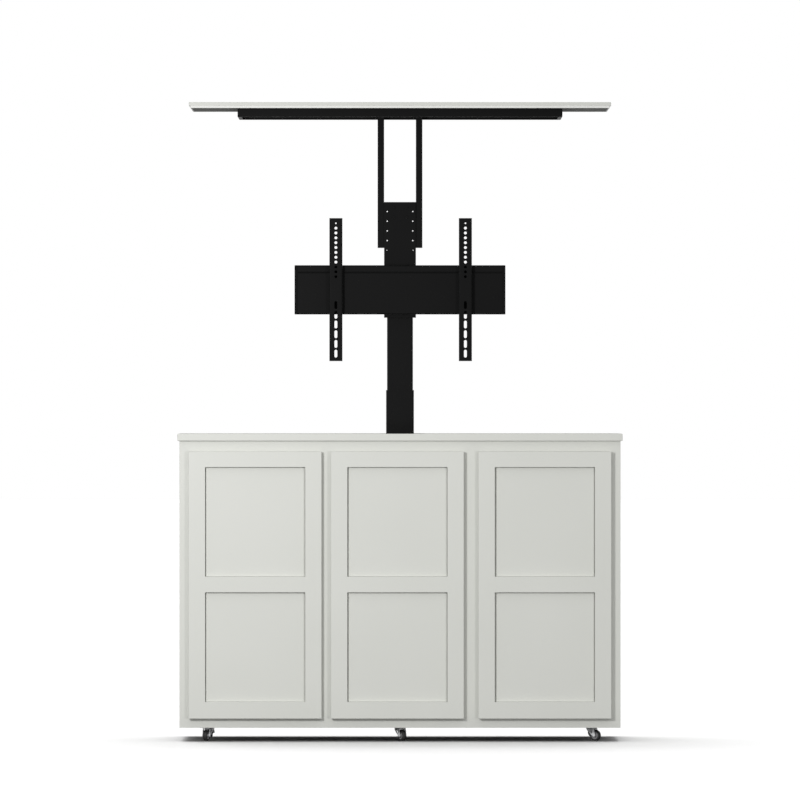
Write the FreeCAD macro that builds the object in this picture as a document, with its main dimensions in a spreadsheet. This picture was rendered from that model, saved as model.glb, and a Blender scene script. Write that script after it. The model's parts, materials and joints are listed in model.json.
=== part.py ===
import FreeCAD
import Part
import Sketcher
import math
import os
import re
from FreeCAD import Placement, Rotation, Vector

# A lift cabinet for a television: a sideboard on castors, a telescopic column that rises
# from it, the bracket that holds the screen and the lid that rides above it.
# The frame is +X to the right, -Y to the front and +Z up, in millimetres, with the origin
# on the floor under the middle of the cabinet. The lift stands fully raised.

SIZES = (
    # cabinet body
    ("carcass_width", 1350, "outside width of the body"),
    ("carcass_depth", 400, "face of the frame to the back"),
    ("carcass_height", 878, "body without its top"),
    ("side_board", 18, "thickness of the sides"),
    ("floor_board", 18, "thickness of the floor"),
    ("back_board", 12, "thickness of the back"),
    ("frame_board", 20, "thickness of the face frame"),
    ("frame_lap", 20, "how far a door laps onto the face frame"),
    # doors
    ("door_board", 20, "thickness of a door"),
    ("door_gap", 2, "air between a door and the face frame"),
    ("side_reveal", 29, "body side to the nearest door"),
    ("top_reveal", 33, "door to the top of the body"),
    ("bottom_reveal", 29, "door to the foot of the body"),
    ("left_gap", 29, "left door to middle door"),
    ("right_gap", 45, "middle door to right door"),
    ("stile_width", 50, "upright members of a door"),
    ("top_rail", 47, "upper cross member of a door"),
    ("middle_rail", 48, "middle cross member of a door"),
    ("bottom_rail", 51, "lower cross member of a door"),
    ("panel_sink", 12, "front of a door to its sunk panels"),
    ("panel_board", 6, "thickness of a sunk panel"),
    ("groove_depth", 8, "groove that holds a panel"),
    ("groove_play", 0.3, "air round a panel in its groove"),
    # hinges, latches and bumpers
    ("pivot_inset", 6, "hinge edge of a door to its pivot"),
    ("pivot_sink", 10, "rear of a door to its pivot"),
    ("pin_radius", 1.5, "hinge pin"),
    ("pin_play", 0.05, "running clearance of pins and shafts"),
    ("knuckle_radius", 2.8, "eye of the hinge arm"),
    ("cup_edge", 2, "hinge edge of a door to the cup"),
    ("cup_width", 36, "hinge cup, along the door"),
    ("cup_height", 36, "hinge cup, upright"),
    ("cup_depth", 14, "hinge cup, into the door"),
    ("cup_wall", 0.9, "wall of the hinge cup"),
    ("arm_sheet", 2, "thickness of the hinge arm"),
    ("arm_height", 14, "height of the hinge arm"),
    ("arm_block", 8, "thickness of the hinge plate"),
    ("block_height", 40, "height of the hinge plate"),
    ("hinge_from_end", 100, "end of a door to the hinge's middle"),
    ("latch_width", 14, "push latch body, across"),
    ("latch_depth", 40, "push latch body, front to back"),
    ("latch_height", 16, "push latch body, upright"),
    ("latch_setback", 2, "face of the frame to the latch body"),
    ("plunger_radius", 4, "push latch plunger"),
    ("plunger_length", 38, "push latch plunger"),
    ("plunger_spare", 3, "free bore behind the plunger"),
    ("door_touch", 0.3, "air between a door and what it closes on"),
    ("bumper_radius", 4, "door bumper"),
    ("bumper_from_end", 15, "door end to its bumper"),
    # top and lid
    ("top_board", 22, "thickness of the top"),
    ("top_side_overhang", 6, "top past the sides"),
    ("top_front_overhang", 12, "top past the face frame"),
    ("top_round", 2, "rounding of the top's upper edge"),
    ("top_under_round", 4, "rounding of the top's lower edge"),
    ("opening_side_land", 31, "end of the top to the lid opening"),
    ("opening_front_land", 36, "front of the top to the lid opening"),
    ("opening_rear_land", 29, "back of the top to the lid opening"),
    ("lid_gap", 3, "air round the lid in its opening"),
    ("lid_board", 10.5, "thickness of the lid panel"),
    ("lid_round", 1.5, "rounding of the lid's upper edge"),
    ("under_board", 7.5, "thickness of the board under the lid"),
    ("under_inset", 3.5, "step from the lid's edge to the board under it"),
    ("under_bevel", 3, "how far that board's edge leans in"),
    # tray and bracket under the lid
    ("tray_side_inset", 148.5, "lid end to the tray"),
    ("tray_edge_inset", 35.5, "lid edge to the tray"),
    ("tray_height", 26, "depth of the tray's flanges"),
    ("tray_sheet", 2, "sheet of the tray"),
    ("tray_lip", 12, "inward lip of the tray"),
    ("upright_width", 20, "uprights of the lid bracket"),
    ("bracket_sheet", 4, "sheet of the lid bracket"),
    ("bracket_lap", 142, "lid bracket over the head plate"),
    ("bracket_foot", 38, "flange of the lid bracket under the tray"),
    # column
    ("column_back_space", 25, "column to the back board"),
    ("tube_width", 74, "inmost tube, across"),
    ("tube_depth", 50, "inmost tube, front to back"),
    ("tube_wall", 1.8, "wall of every tube"),
    ("tube_space", 1.2, "air between two tubes"),
    ("tube_round", 5, "outer corner of every tube"),
    ("tube_length", 558, "inmost tube"),
    ("foot_step", 2, "step between the tube feet when lowered"),
    ("foot_sheet", 4, "foot plate of the second tube"),
    ("travel_two", 450, "travel of the second tube"),
    ("travel_three", 440, "travel of the third tube"),
    ("travel_four", 126, "travel of the fourth tube"),
    ("lap_two", 108, "second tube left in the first when raised"),
    ("lap_three", 112, "third tube left in the second when raised"),
    ("lap_four", 422, "fourth tube left in the third when raised"),
    ("glide_play", 0.3, "air over a glide pad"),
    ("glide_height", 40, "glide pad, upright"),
    ("glide_width", 30, "glide pad, across"),
    ("glide_from_end", 5, "tube mouth to the pads inside it"),
    ("base_width", 200, "base plate, across"),
    ("base_depth", 110, "base plate, front to back"),
    ("base_sheet", 6, "base plate"),
    ("steady_width", 120, "steady bracket, across"),
    ("steady_height", 40, "steady bracket, upright"),
    ("steady_sheet", 3, "steady bracket"),
    ("steady_drop", 26, "first tube's mouth to the steady bracket"),
    # drive
    ("motor_radius", 18, "motor"),
    ("motor_height", 84, "motor"),
    ("boss_radius", 10, "bearing boss on the motor"),
    ("boss_height", 8, "bearing boss on the motor"),
    ("screw_radius", 6, "lead screw"),
    ("tail_radius", 4, "lead screw's tail in the boss"),
    ("tail_length", 6, "lead screw's tail in the boss"),
    ("screw_rest", 0.3, "air under the lead screw's shoulder"),
    ("screw_headroom", 4, "lead screw to the lowered cap"),
    ("sleeve_play", 1, "air between motor and nut sleeve"),
    ("sleeve_wall", 2, "nut sleeve"),
    ("sleeve_height", 96, "nut sleeve below the nut"),
    ("nut_height", 12, "nut"),
    # head
    ("cap_sheet", 6, "cap on the inmost tube"),
    ("cap_flange_sheet", 3, "flange of the cap"),
    ("cap_flange_width", 60, "flange of the cap"),
    ("cap_flange_height", 60, "flange of the cap"),
    ("stack_gap", 4, "column to the lid bracket"),
    ("head_width", 98.4, "head plate"),
    ("head_height", 358, "head plate"),
    ("head_sheet", 4, "head plate"),
    ("head_rise", 2, "head plate above the cap"),
    ("stop_hole_radius", 2, "height holes of head plate and lid bracket"),
    ("stop_hole_across", 79, "height holes, left to right"),
    ("stop_hole_pitch", 30, "height holes, up"),
    ("stop_hole_drop", 29.2, "top of the head plate to its first holes"),
    ("cross_width", 652, "cross plate"),
    ("cross_height", 152, "cross plate"),
    ("cross_depth", 30, "cross plate, front to back"),
    ("cross_sheet", 3, "cross plate"),
    ("cross_lip", 20, "rear lips of the cross plate"),
    ("cross_drop", 196, "top of the head plate to the cross plate"),
    ("crease_drop", 23.5, "top of the cross plate to its crease"),
    ("crease_step", 1, "depth of the crease"),
    ("cross_end", 10, "end cap of the cross plate"),
    ("cross_end_set", 0.5, "end cap behind the cross plate's face"),
    # rails for the television
    ("rail_spacing", 400, "left rail to right rail"),
    ("rail_shift", 2, "both rails to the right of the middle"),
    ("rail_length", 441.5, "rail"),
    ("rail_drop", 144.5, "rail below the cross plate"),
    ("rail_width", 40, "rail"),
    ("rail_depth", 24, "rail, front to back"),
    ("rail_sheet", 2.5, "rail"),
    ("rail_bend", 2, "outer bend of a rail"),
    ("hole_radius", 4.4, "round holes of a rail"),
    ("hole_pitch", 15, "round holes of a rail"),
    ("hole_count", 12, "round holes of a rail"),
    ("hole_from_end", 15.8, "top of a rail to its first hole"),
    ("end_hole_radius", 2.5, "topmost hole of a rail"),
    ("slot_radius", 4.4, "half the width of a rail's slots"),
    ("slot_length", 24, "slots of a rail"),
    ("slot_pitch", 30, "slots of a rail"),
    ("slot_count", 6, "slots of a rail"),
    ("slot_from_end", 23, "foot of a rail to its first slot's middle"),
    ("hook_width", 28, "hooks of a rail, outside its two tabs"),
    ("hook_tab", 5, "each tab of a hook"),
    ("hook_height", 6, "tabs of a hook, upright"),
    ("hook_grip", 8, "hooks over the cross plate"),
    ("knob_radius", 5, "lock knob under a rail's lower hook"),
    ("knob_height", 14, "lock knob under a rail's lower hook"),
    # castors
    ("wheel_radius", 17, "castor wheel"),
    ("wheel_headroom", 2, "air between a castor wheel and its fork's crown"),
    ("wheel_width", 13, "castor wheel"),
    ("rim_radius", 11.5, "castor wheel inside its tyre"),
    ("rim_width", 10, "castor wheel inside its tyre"),
    ("hub_radius", 5, "castor hub"),
    ("hub_side_play", 0.3, "hub to fork"),
    ("tyre_shoulder", 2, "bevel of the tyre's edges"),
    ("axle_radius", 2.5, "castor axle"),
    ("axle_head_radius", 4, "castor axle head"),
    ("axle_head", 1.2, "castor axle head"),
    ("trail", 12, "swivel axis to axle"),
    ("fork_inside", 20, "between the fork's cheeks"),
    ("fork_sheet", 2, "sheet of the fork"),
    ("fork_back", 13, "swivel axis to the fork's back"),
    ("fork_front", 12, "swivel axis to the fork's front"),
    ("cheek_nose", 4, "axle to the edge of a cheek"),
    ("window_back", 4, "swivel axis to the back of a cheek's window"),
    ("window_front", 6, "swivel axis to the front of a cheek's window"),
    ("window_foot", 6, "axle to the foot of a cheek's window"),
    ("race_height", 1.7, "bearing race under the castor plate"),
    ("race_radius", 9, "bearing race under the castor plate"),
    ("race_play", 0.3, "air under the race and over the kingpin's head"),
    ("kingpin_radius", 3, "kingpin"),
    ("kingpin_head_radius", 5, "kingpin head"),
    ("castor_sheet", 2, "castor plate"),
    ("castor_plate", 38, "side of the castor plate"),
    ("castor_across", 589, "middle of the cabinet to the outer castors"),
    ("castor_front_inset", 59, "face of the frame to the front castors"),
    ("castor_rear_inset", 61, "back to the rear castors"),
    # small parts
    ("socket_width", 22, "sockets of the control box"),
    ("control_width", 150, "control box"),
    ("control_depth", 44, "control box"),
    ("control_height", 90, "control box"),
    ("control_across", 190, "middle of the cabinet to the control box"),
    ("control_lift", 60, "floor board to the control box"),
    ("control_round", 4, "edges of the control box"),
    ("gland_across", 250, "middle of the cabinet to the cable gland"),
    ("gland_lift", 240, "floor board to the cable gland"),
    ("gland_bore", 22, "cable gland, inside radius"),
    ("gland_radius", 27, "cable gland in the back board"),
    ("gland_flange", 33, "cable gland, flange radius"),
    ("gland_sheet", 2.5, "cable gland flange"),
    ("gland_play", 0.2, "air round the gland"),
    ("bolt_radius", 3, "bolts of the head"),
    ("bolt_head_radius", 5, "bolts of the head"),
    ("bolt_head", 2.5, "bolts of the head"),
    ("bolt_nut", 4.5, "nuts of the head"),
    ("bolt_play", 0.2, "air round bolts and screws"),
    ("screw_shank", 2, "wood screws"),
    ("screw_bite", 5.5, "lid screws in the lid panel"),
    ("floor_bite", 12, "screws in the floor board"),
    ("base_bolt_inset", 15, "edges of the base plate to its screws"),
    ("castor_screw_inset", 5, "edges of a castor plate to its screws"),
    ("castor_screw", 1.5, "castor screws"),
    ("castor_screw_head", 3, "castor screw heads, radius"),
    ("castor_screw_cap", 1.3, "castor screw heads, height"),
)

PLACES = (
    # cabinet body
    ("fork_top", "2 * wheel_radius + wheel_headroom + fork_sheet"),
    ("race_low", "fork_top + race_play"),
    ("plate_low", "race_low + race_height"),
    ("castor_height", "plate_low + castor_sheet"),
    ("back_y", "(carcass_depth + door_gap + door_board) / 2"),
    ("face_y", "back_y - carcass_depth"),
    ("frame_back_y", "face_y + frame_board"),
    ("inner_back_y", "back_y - back_board"),
    ("door_rear_y", "face_y - door_gap"),
    ("door_front_y", "door_rear_y - door_board"),
    ("side_x", "carcass_width / 2"),
    ("inner_x", "side_x - side_board"),
    ("floor_top", "castor_height + floor_board"),
    ("body_top", "castor_height + carcass_height"),
    ("top_face", "body_top + top_board"),
    # doors
    ("door_width", "(carcass_width - 2 * side_reveal - left_gap - right_gap) / 3"),
    ("door_low", "castor_height + bottom_reveal"),
    ("door_high", "body_top - top_reveal"),
    ("left_door_x", "side_reveal - side_x"),
    ("middle_door_x", "left_door_x + door_width + left_gap"),
    ("right_door_x", "middle_door_x + door_width + right_gap"),
    ("panel_height", "(door_high - door_low - top_rail - middle_rail - bottom_rail) / 2"),
    ("panel_front_y", "door_front_y + panel_sink"),
    ("pivot_y", "door_rear_y - pivot_sink"),
    ("latch_z", "(door_low + door_high) / 2"),
    ("latch_front_y", "face_y + latch_setback"),
    ("plunger_front_y", "door_rear_y + door_touch"),
    # top and lid
    ("opening_x", "side_x + top_side_overhang - opening_side_land"),
    ("opening_front_y", "face_y - top_front_overhang + opening_front_land"),
    ("opening_back_y", "back_y - opening_rear_land"),
    ("lid_x", "opening_x - lid_gap"),
    ("lid_front_y", "opening_front_y + lid_gap"),
    ("lid_back_y", "opening_back_y - lid_gap"),
    ("lift_travel", "travel_two + travel_three + travel_four"),
    ("lid_top", "top_face + lift_travel"),
    ("lid_middle", "lid_top - lid_board"),
    ("lid_low", "lid_middle - under_board"),
    ("tray_x", "lid_x - tray_side_inset"),
    ("tray_front_y", "lid_front_y + tray_edge_inset"),
    ("tray_back_y", "lid_back_y - tray_edge_inset"),
    ("tray_low", "lid_low - tray_height"),
    ("tray_inside", "lid_low - tray_sheet"),
    # column
    ("tube_step", "tube_wall + tube_space"),
    ("column_half_depth", "tube_depth / 2 + 3 * tube_step"),
    ("column_y", "inner_back_y - column_back_space - column_half_depth"),
    ("column_front_y", "column_y - column_half_depth"),
    ("column_back_y", "column_y + column_half_depth"),
    ("base_top", "floor_top + base_sheet"),
    ("lowered_two", "base_top + foot_step"),
    ("lowered_three", "lowered_two + foot_sheet + foot_step"),
    ("lowered_four", "lowered_three + foot_step"),
    ("low_two", "lowered_two + travel_two"),
    ("low_three", "lowered_three + travel_two + travel_three"),
    ("low_four", "lowered_four + lift_travel"),
    ("high_one", "low_two + lap_two"),
    ("high_two", "low_three + lap_three"),
    ("high_three", "low_four + lap_four"),
    ("high_four", "low_four + tube_length"),
    ("glide_sheet", "tube_space - glide_play"),
    # drive
    ("motor_top", "base_top + motor_height"),
    ("boss_top", "motor_top + boss_height"),
    ("screw_low", "boss_top + screw_rest"),
    ("screw_high", "high_four - lift_travel - screw_headroom"),
    ("sleeve_inside", "motor_radius + sleeve_play"),
    # head
    ("cap_top", "high_four + cap_sheet"),
    ("bracket_back_y", "column_front_y - stack_gap"),
    ("bracket_front_y", "bracket_back_y - bracket_sheet"),
    ("head_front_y", "bracket_front_y - head_sheet"),
    ("cross_front_y", "head_front_y - cross_depth"),
    ("rail_front_y", "cross_front_y - rail_depth"),
    ("flange_back_y", "bracket_back_y + cap_flange_sheet"),
    ("head_top", "cap_top + head_rise"),
    ("head_low", "head_top - head_height"),
    ("bracket_low", "head_top - bracket_lap"),
    ("bracket_x", "head_width / 2 + upright_width"),
    ("cross_top", "head_top - cross_drop"),
    ("cross_low", "cross_top - cross_height"),
    ("rail_low", "cross_low - rail_drop"),
    ("left_rail_x", "rail_shift - rail_spacing / 2"),
    ("right_rail_x", "rail_shift + rail_spacing / 2"),
    # castors
    ("front_castor_y", "face_y + castor_front_inset"),
    ("rear_castor_y", "back_y - castor_rear_inset"),
    ("crown_low", "fork_top - fork_sheet"),
    ("kingpin_head_top", "crown_low - race_play"),
    ("cheek_y", "fork_inside / 2 + fork_sheet"),
)

# name of each castor: place across, place front to back, and the way its wheel trails in degrees
CASTORS = {
    "front_left": ("-castor_across", "front_castor_y", 248),
    "front_middle": ("0", "front_castor_y", 302),
    "front_right": ("castor_across", "front_castor_y", 330),
    "rear_left": ("-castor_across", "rear_castor_y", 276),
    "rear_middle": ("0", "rear_castor_y", 300),
    "rear_right": ("castor_across", "rear_castor_y", 318),
}

# name of each door: left edge, and the side its hinges are on (1 left, -1 right)
DOORS = {
    "left": ("left_door_x", 1),
    "middle": ("middle_door_x", -1),
    "right": ("right_door_x", -1),
}

SIZE_NAMES = {name for name, value, meaning in SIZES}
PLACE_NAMES = {name for name, text in PLACES}

doc = FreeCAD.newDocument("tv_lift_cabinet")
nodes = []


# sheet, formulas and labels

def formula(text):
    """The text with each size and place name led by the object that holds it."""

    def owned(match):
        word = match.group(0)
        if word in SIZE_NAMES:
            return f"Sizes.{word}"
        if word in PLACE_NAMES:
            return f"Places.{word}"
        return word

    return re.sub(r"[a-z][a-z_]*", owned, text)


def number(text):
    """The present value of a formula."""
    return float(doc.getObject("Places").evalExpression(formula(text)))


def fill_sheet():
    """Driving dimensions as plain numbers, one row each."""
    sheet = doc.addObject("Spreadsheet::Sheet", "Sizes")
    for row, (name, value, meaning) in enumerate(SIZES, start=1):
        sheet.set(f"A{row}", meaning)
        sheet.set(f"B{row}", str(value))
        sheet.setAlias(f"B{row}", name)
    doc.recompute()


def fill_places():
    """Faces and heights that follow from the driving dimensions."""
    places = doc.addObject("App::VarSet", "Places")
    for name, text in PLACES:
        places.addProperty("App::PropertyFloat", name, "Places", text)
        places.setExpression(name, formula(text))
    doc.recompute()


def hold(thing, path, text):
    """Binds one property, or one constraint, to a formula."""
    thing.setExpression(path, formula(text))


def name_node(thing, label):
    """Makes an object a sub-part, under the name its file gets."""
    thing.Label = label
    nodes.append(thing)


# solids from faces, and their booleans

def box(x, y, z):
    """Board between two faces on each axis; each pair is (low, high)."""
    board = doc.addObject("Part::Box", "Board")
    for size, axis, (low, high) in (("Length", "x", x), ("Width", "y", y), ("Height", "z", z)):
        hold(board, size, f"({high}) - ({low})")
        hold(board, f"Placement.Base.{axis}", low)
    return board


def rod(radius, start, length, along="z"):
    """Round bar from the middle of its first end, along +y or +z."""
    bar = doc.addObject("Part::Cylinder", "Rod")
    if along == "y":
        bar.Placement = Placement(Vector(), Rotation(Vector(1, 0, 0), -90))
    hold(bar, "Radius", radius)
    hold(bar, "Height", length)
    for axis, text in zip("xyz", start):
        hold(bar, f"Placement.Base.{axis}", text)
    return bar


def group(pieces):
    """Several solids that stay separate."""
    bundle = doc.addObject("Part::Compound", "Group")
    bundle.Links = pieces
    return bundle


def fuse(pieces):
    """Several shapes made one solid."""
    whole = doc.addObject("Part::MultiFuse", "Fusion")
    whole.Shapes = pieces
    whole.Refine = True
    return whole


def cut(base, tools):
    """Base less every tool."""
    rest = doc.addObject("Part::Cut", "Cut")
    rest.Base = base
    rest.Tool = group(tools)
    return rest


# sketches

def new_body(name, place=("0", "0", "0")):
    """Body whose origin stands at a bound place."""
    part = doc.addObject("PartDesign::Body", name)
    for axis, text in zip("xyz", place):
        hold(part, f"Placement.Base.{axis}", text)
    return part


def draw(part, plane):
    """Empty sketch on one of the body's own planes."""
    drawing = part.newObject("Sketcher::SketchObject", "Drawing")
    seat = next(item for item in part.Origin.OriginFeatures if item.Role == plane)
    drawing.AttachmentSupport = [(seat, "")]
    drawing.MapMode = "FlatFace"
    return drawing


def dimension(drawing, kind, edge, point, text):
    """Distance of one point from the sketch's origin."""
    made = drawing.addConstraint(Sketcher.Constraint(kind, -1, 1, edge, point, number(text)))
    hold(drawing, f"Constraints[{made}]", text)


def outline(drawing, corners):
    """Closed outline of straight edges, every corner dimensioned from the origin."""
    spots = [Vector(number(across), number(up), 0) for across, up in corners]
    first = drawing.GeometryCount
    edges = [Part.LineSegment(start, end) for start, end in zip(spots, spots[1:] + spots[:1])]
    drawing.addGeometry(edges, False)
    for place, (across, up) in enumerate(corners):
        edge = first + place
        before = first + (place - 1) % len(corners)
        drawing.addConstraint(Sketcher.Constraint("Coincident", before, 2, edge, 1))
        dimension(drawing, "DistanceX", edge, 1, across)
        dimension(drawing, "DistanceY", edge, 1, up)


def rectangle(drawing, across, up):
    """Upright rectangle; each pair is (low, high)."""
    left, right = across
    bottom, top = up
    outline(drawing, [(left, bottom), (right, bottom), (right, top), (left, top)])


def circle(drawing, across, up, radius):
    """Circle dimensioned from the origin."""
    spot = Vector(number(across), number(up), 0)
    ring = drawing.addGeometry(Part.Circle(spot, Vector(0, 0, 1), number(radius)), False)
    dimension(drawing, "DistanceX", ring, 3, across)
    dimension(drawing, "DistanceY", ring, 3, up)
    made = drawing.addConstraint(Sketcher.Constraint("Radius", ring, number(radius)))
    hold(drawing, f"Constraints[{made}]", radius)


def upright_slot(drawing, low, high, radius):
    """Slot on the sketch's upright axis, between the centres of its round ends."""
    bottom = number(low)
    top = number(high)
    reach = number(radius)
    axis = Vector(0, 0, 1)
    foot = Part.ArcOfCircle(Part.Circle(Vector(0, bottom, 0), axis, reach), math.pi, 2 * math.pi)
    head = Part.ArcOfCircle(Part.Circle(Vector(0, top, 0), axis, reach), 0, math.pi)
    right = Part.LineSegment(Vector(reach, bottom, 0), Vector(reach, top, 0))
    left = Part.LineSegment(Vector(-reach, top, 0), Vector(-reach, bottom, 0))
    drawing.addGeometry([foot, right, head, left], False)
    for edge in range(4):
        drawing.addConstraint(Sketcher.Constraint("Tangent", edge, 2, (edge + 1) % 4, 1))
    drawing.addConstraint(Sketcher.Constraint("Vertical", 1))
    drawing.addConstraint(Sketcher.Constraint("PointOnObject", 0, 3, -2))
    dimension(drawing, "DistanceY", 0, 3, low)
    dimension(drawing, "DistanceY", 2, 3, high)
    made = drawing.addConstraint(Sketcher.Constraint("Radius", 0, reach))
    hold(drawing, f"Constraints[{made}]", radius)


# features

def pad(part, drawing, length, both_ways=False):
    """Extrusion, along the sketch's normal or evenly to both sides."""
    feature = part.newObject("PartDesign::Pad", "Pad")
    feature.Profile = drawing
    hold(feature, "Length", length)
    feature.SideType = "Symmetric" if both_ways else "One side"
    doc.recompute()
    return feature


def pocket(part, drawing, width=None):
    """Cut evenly to both sides of the sketch, through everything or of a given width."""
    feature = part.newObject("PartDesign::Pocket", "Pocket")
    feature.Profile = drawing
    feature.SideType = "Symmetric"
    if width is None:
        feature.Type = "ThroughAll"
    else:
        hold(feature, "Length", width)
    doc.recompute()
    return feature


def repeat_up(part, feature, drawing, length, count):
    """Row of one feature along its sketch's upright axis."""
    row = part.newObject("PartDesign::LinearPattern", "Row")
    row.Originals = [feature]
    row.Direction = (drawing, ["V_Axis"])
    hold(row, "Length", length)
    hold(row, "Occurrences", count)
    part.Tip = row
    doc.recompute()


def round_edges(part, radius, chosen):
    """Fillet on the edges for which chosen(start, end) is true."""
    last = part.Tip
    names = []
    for place, edge in enumerate(last.Shape.Edges, start=1):
        ends = [vertex.Point for vertex in edge.Vertexes]
        if len(ends) == 2 and chosen(*ends):
            names.append(f"Edge{place}")
    feature = part.newObject("PartDesign::Fillet", "Rounding")
    feature.Base = (last, names)
    hold(feature, "Radius", radius)
    doc.recompute()


def upright(start, end):
    """True for an edge that runs straight up."""
    return abs(start.x - end.x) < 0.001 and abs(start.y - end.y) < 0.001


def turned(name, corners):
    """Solid of revolution about +z; corners are (radius, height)."""
    part = new_body(name)
    drawing = draw(part, "XZ_Plane")
    outline(drawing, corners)
    feature = part.newObject("PartDesign::Revolution", "Turning")
    feature.Profile = drawing
    feature.ReferenceAxis = (drawing, ["V_Axis"])
    feature.Angle = 360
    doc.recompute()
    return part


def tapped(places, start, radius, length, along="z"):
    """Clearance rods for screws, one at each place across the given axis."""
    bars = []
    for first, second in places:
        spot = (first, second, start) if along == "z" else (first, start, second)
        bars.append(rod(f"{radius} + bolt_play", spot, length, along))
    return bars


# where the screws and bolts go

def castor_screw_places():
    """Screws of every castor plate, across and front to back."""
    offset = "(castor_plate / 2 - castor_screw_inset)"
    places = []
    for across, along, angle in CASTORS.values():
        for x_sign in "+-":
            for y_sign in "+-":
                places.append((f"{across} {x_sign} {offset}", f"{along} {y_sign} {offset}"))
    return places


def base_screw_places():
    """Screws of the base plate, across and front to back."""
    across = "(base_width / 2 - base_bolt_inset)"
    along = "(base_depth / 2 - base_bolt_inset)"
    return [(f"{x_sign} {across}", f"column_y {y_sign} {along}") for x_sign in "+-" for y_sign in "+-"]


def tray_screw_places():
    """Screws that hold the lid on its tray."""
    places = []
    for x_sign in "+-":
        for share in ("0.85", "0.3"):
            places.append((f"{x_sign} {share} * tray_x", "tray_front_y + 30"))
            places.append((f"{x_sign} {share} * tray_x", "tray_back_y - 20"))
    return places


def foot_screw_places():
    """Screws through the lid bracket's flange."""
    middle = "bracket_front_y - bracket_foot / 2"
    return [(f"{x_sign} (bracket_x - 20)", middle) for x_sign in "+-"]


def hang_bolt_places():
    """Bolts from the head plate to the cap's flange, across and up."""
    return [(f"{x_sign} 20", f"cap_top - {drop}") for x_sign in "+-" for drop in (15, 45)]


def cross_bolt_places():
    """Bolts from the cross plate's lips to the head plate, across and up."""
    heights = ("cross_top - cross_lip / 2", "cross_low + cross_lip / 2")
    return [(f"{x_sign} 30", up) for x_sign in "+-" for up in heights]


# cabinet body

def make_sides():
    """Two upright boards behind the face frame."""
    depth = ("frame_back_y", "back_y")
    height = ("castor_height", "body_top")
    name_node(box(("-side_x", "-inner_x"), depth, height), "side_panel_left")
    name_node(box(("inner_x", "side_x"), depth, height), "side_panel_right")


def make_floor():
    """Floor board with the holes of its screws."""
    board = box(("-inner_x", "inner_x"), ("frame_back_y", "inner_back_y"), ("castor_height", "floor_top"))
    holes = tapped(castor_screw_places(), "castor_height - 1", "castor_screw", "floor_bite + 2")
    holes += tapped(base_screw_places(), "floor_top - floor_bite - 1", "screw_shank", "floor_bite + 2")
    name_node(cut(board, holes), "floor_panel")


def make_back():
    """Back board with the hole of the cable gland."""
    board = box(("-inner_x", "inner_x"), ("inner_back_y", "back_y"), ("castor_height", "body_top"))
    middle = ("gland_across", "inner_back_y - 1", "floor_top + gland_lift")
    hole = rod("gland_radius + gland_play", middle, "back_board + 2", "y")
    name_node(cut(board, [hole]), "back_panel")


def make_face_frame():
    """Two stiles, a top and a bottom rail between them, and two mullions between the rails."""
    depth = ("face_y", "frame_back_y")
    height = ("castor_height", "body_top")
    first = "left_door_x + frame_lap"
    last = "right_door_x + door_width - frame_lap"
    rail_over = "door_high - frame_lap"
    rail_under = "door_low + frame_lap"
    pieces = [
        box(("-side_x", first), depth, height),
        box((last, "side_x"), depth, height),
        box((first, last), depth, (rail_over, "body_top")),
        box((first, last), depth, ("castor_height", rail_under)),
    ]
    for before, after in (("left_door_x", "middle_door_x"), ("middle_door_x", "right_door_x")):
        across = (f"{before} + door_width - frame_lap", f"{after} + frame_lap")
        pieces.append(box(across, depth, (rail_under, rail_over)))
    name_node(group(pieces), "face_frame")


def make_top():
    """Top board with rounded edges and the opening for the lid."""
    part = new_body("Top", ("0", "0", "body_top"))
    drawing = draw(part, "XY_Plane")
    rectangle(drawing, ("-side_x - top_side_overhang", "side_x + top_side_overhang"),
              ("face_y - top_front_overhang", "back_y"))
    pad(part, drawing, "top_board")
    rim = part.Tip.Shape.BoundBox
    round_edges(part, "top_under_round", lambda start, end: max(start.z, end.z) < rim.ZMin + 0.001)
    round_edges(part, "top_round", lambda start, end: min(start.z, end.z) > rim.ZMax - 0.001)
    window = draw(part, "XY_Plane")
    rectangle(window, ("-opening_x", "opening_x"), ("opening_front_y", "opening_back_y"))
    pocket(part, window)
    name_node(part, "top_frame")


# doors

def along_door(edge, side, near, far):
    """Low and high place of a stretch measured from a door edge inwards."""
    if side > 0:
        return (f"{edge} + {near}", f"{edge} + {far}")
    return (f"{edge} - ({far})", f"{edge} - ({near})")


def hinge_edge(left, side):
    """Edge of a door that carries its hinges."""
    return left if side > 0 else f"{left} + door_width"


def free_edge(left, side):
    """Edge of a door that swings out."""
    return f"{left} + door_width" if side > 0 else left


def make_door_frame(name, left, side):
    """Stiles, rails between them, panel grooves all round and recesses for the hinge cups."""
    depth = ("door_front_y", "door_rear_y")
    right = f"{left} + door_width"
    inner = (f"{left} + stile_width", f"{right} - stile_width")
    lower_top = "door_low + bottom_rail + panel_height"
    grooves = [groove_box(inner, low) for low in ("door_low + bottom_rail", f"{lower_top} + middle_rail")]
    cups = [cup_box(left, side, height, "0") for height in hinge_heights()]
    boards = [
        box((left, inner[0]), depth, ("door_low", "door_high")),
        box((inner[1], right), depth, ("door_low", "door_high")),
        box(inner, depth, ("door_low", "door_low + bottom_rail")),
        box(inner, depth, (lower_top, f"{lower_top} + middle_rail")),
        box(inner, depth, ("door_high - top_rail", "door_high")),
    ]
    cutters = group(grooves + cups)
    pieces = []
    for board in boards:
        piece = doc.addObject("Part::Cut", "Member")
        piece.Base = board
        piece.Tool = cutters
        pieces.append(piece)
    name_node(group(pieces), f"door_{name}_frame")


def groove_box(across, low):
    """Room for one panel with its grooves."""
    reach = "groove_depth"
    return box(
        (f"{across[0]} - {reach}", f"{across[1]} + {reach}"),
        ("panel_front_y - groove_play", "panel_front_y + panel_board + groove_play"),
        (f"{low} - {reach}", f"{low} + panel_height + {reach}"),
    )


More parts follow.
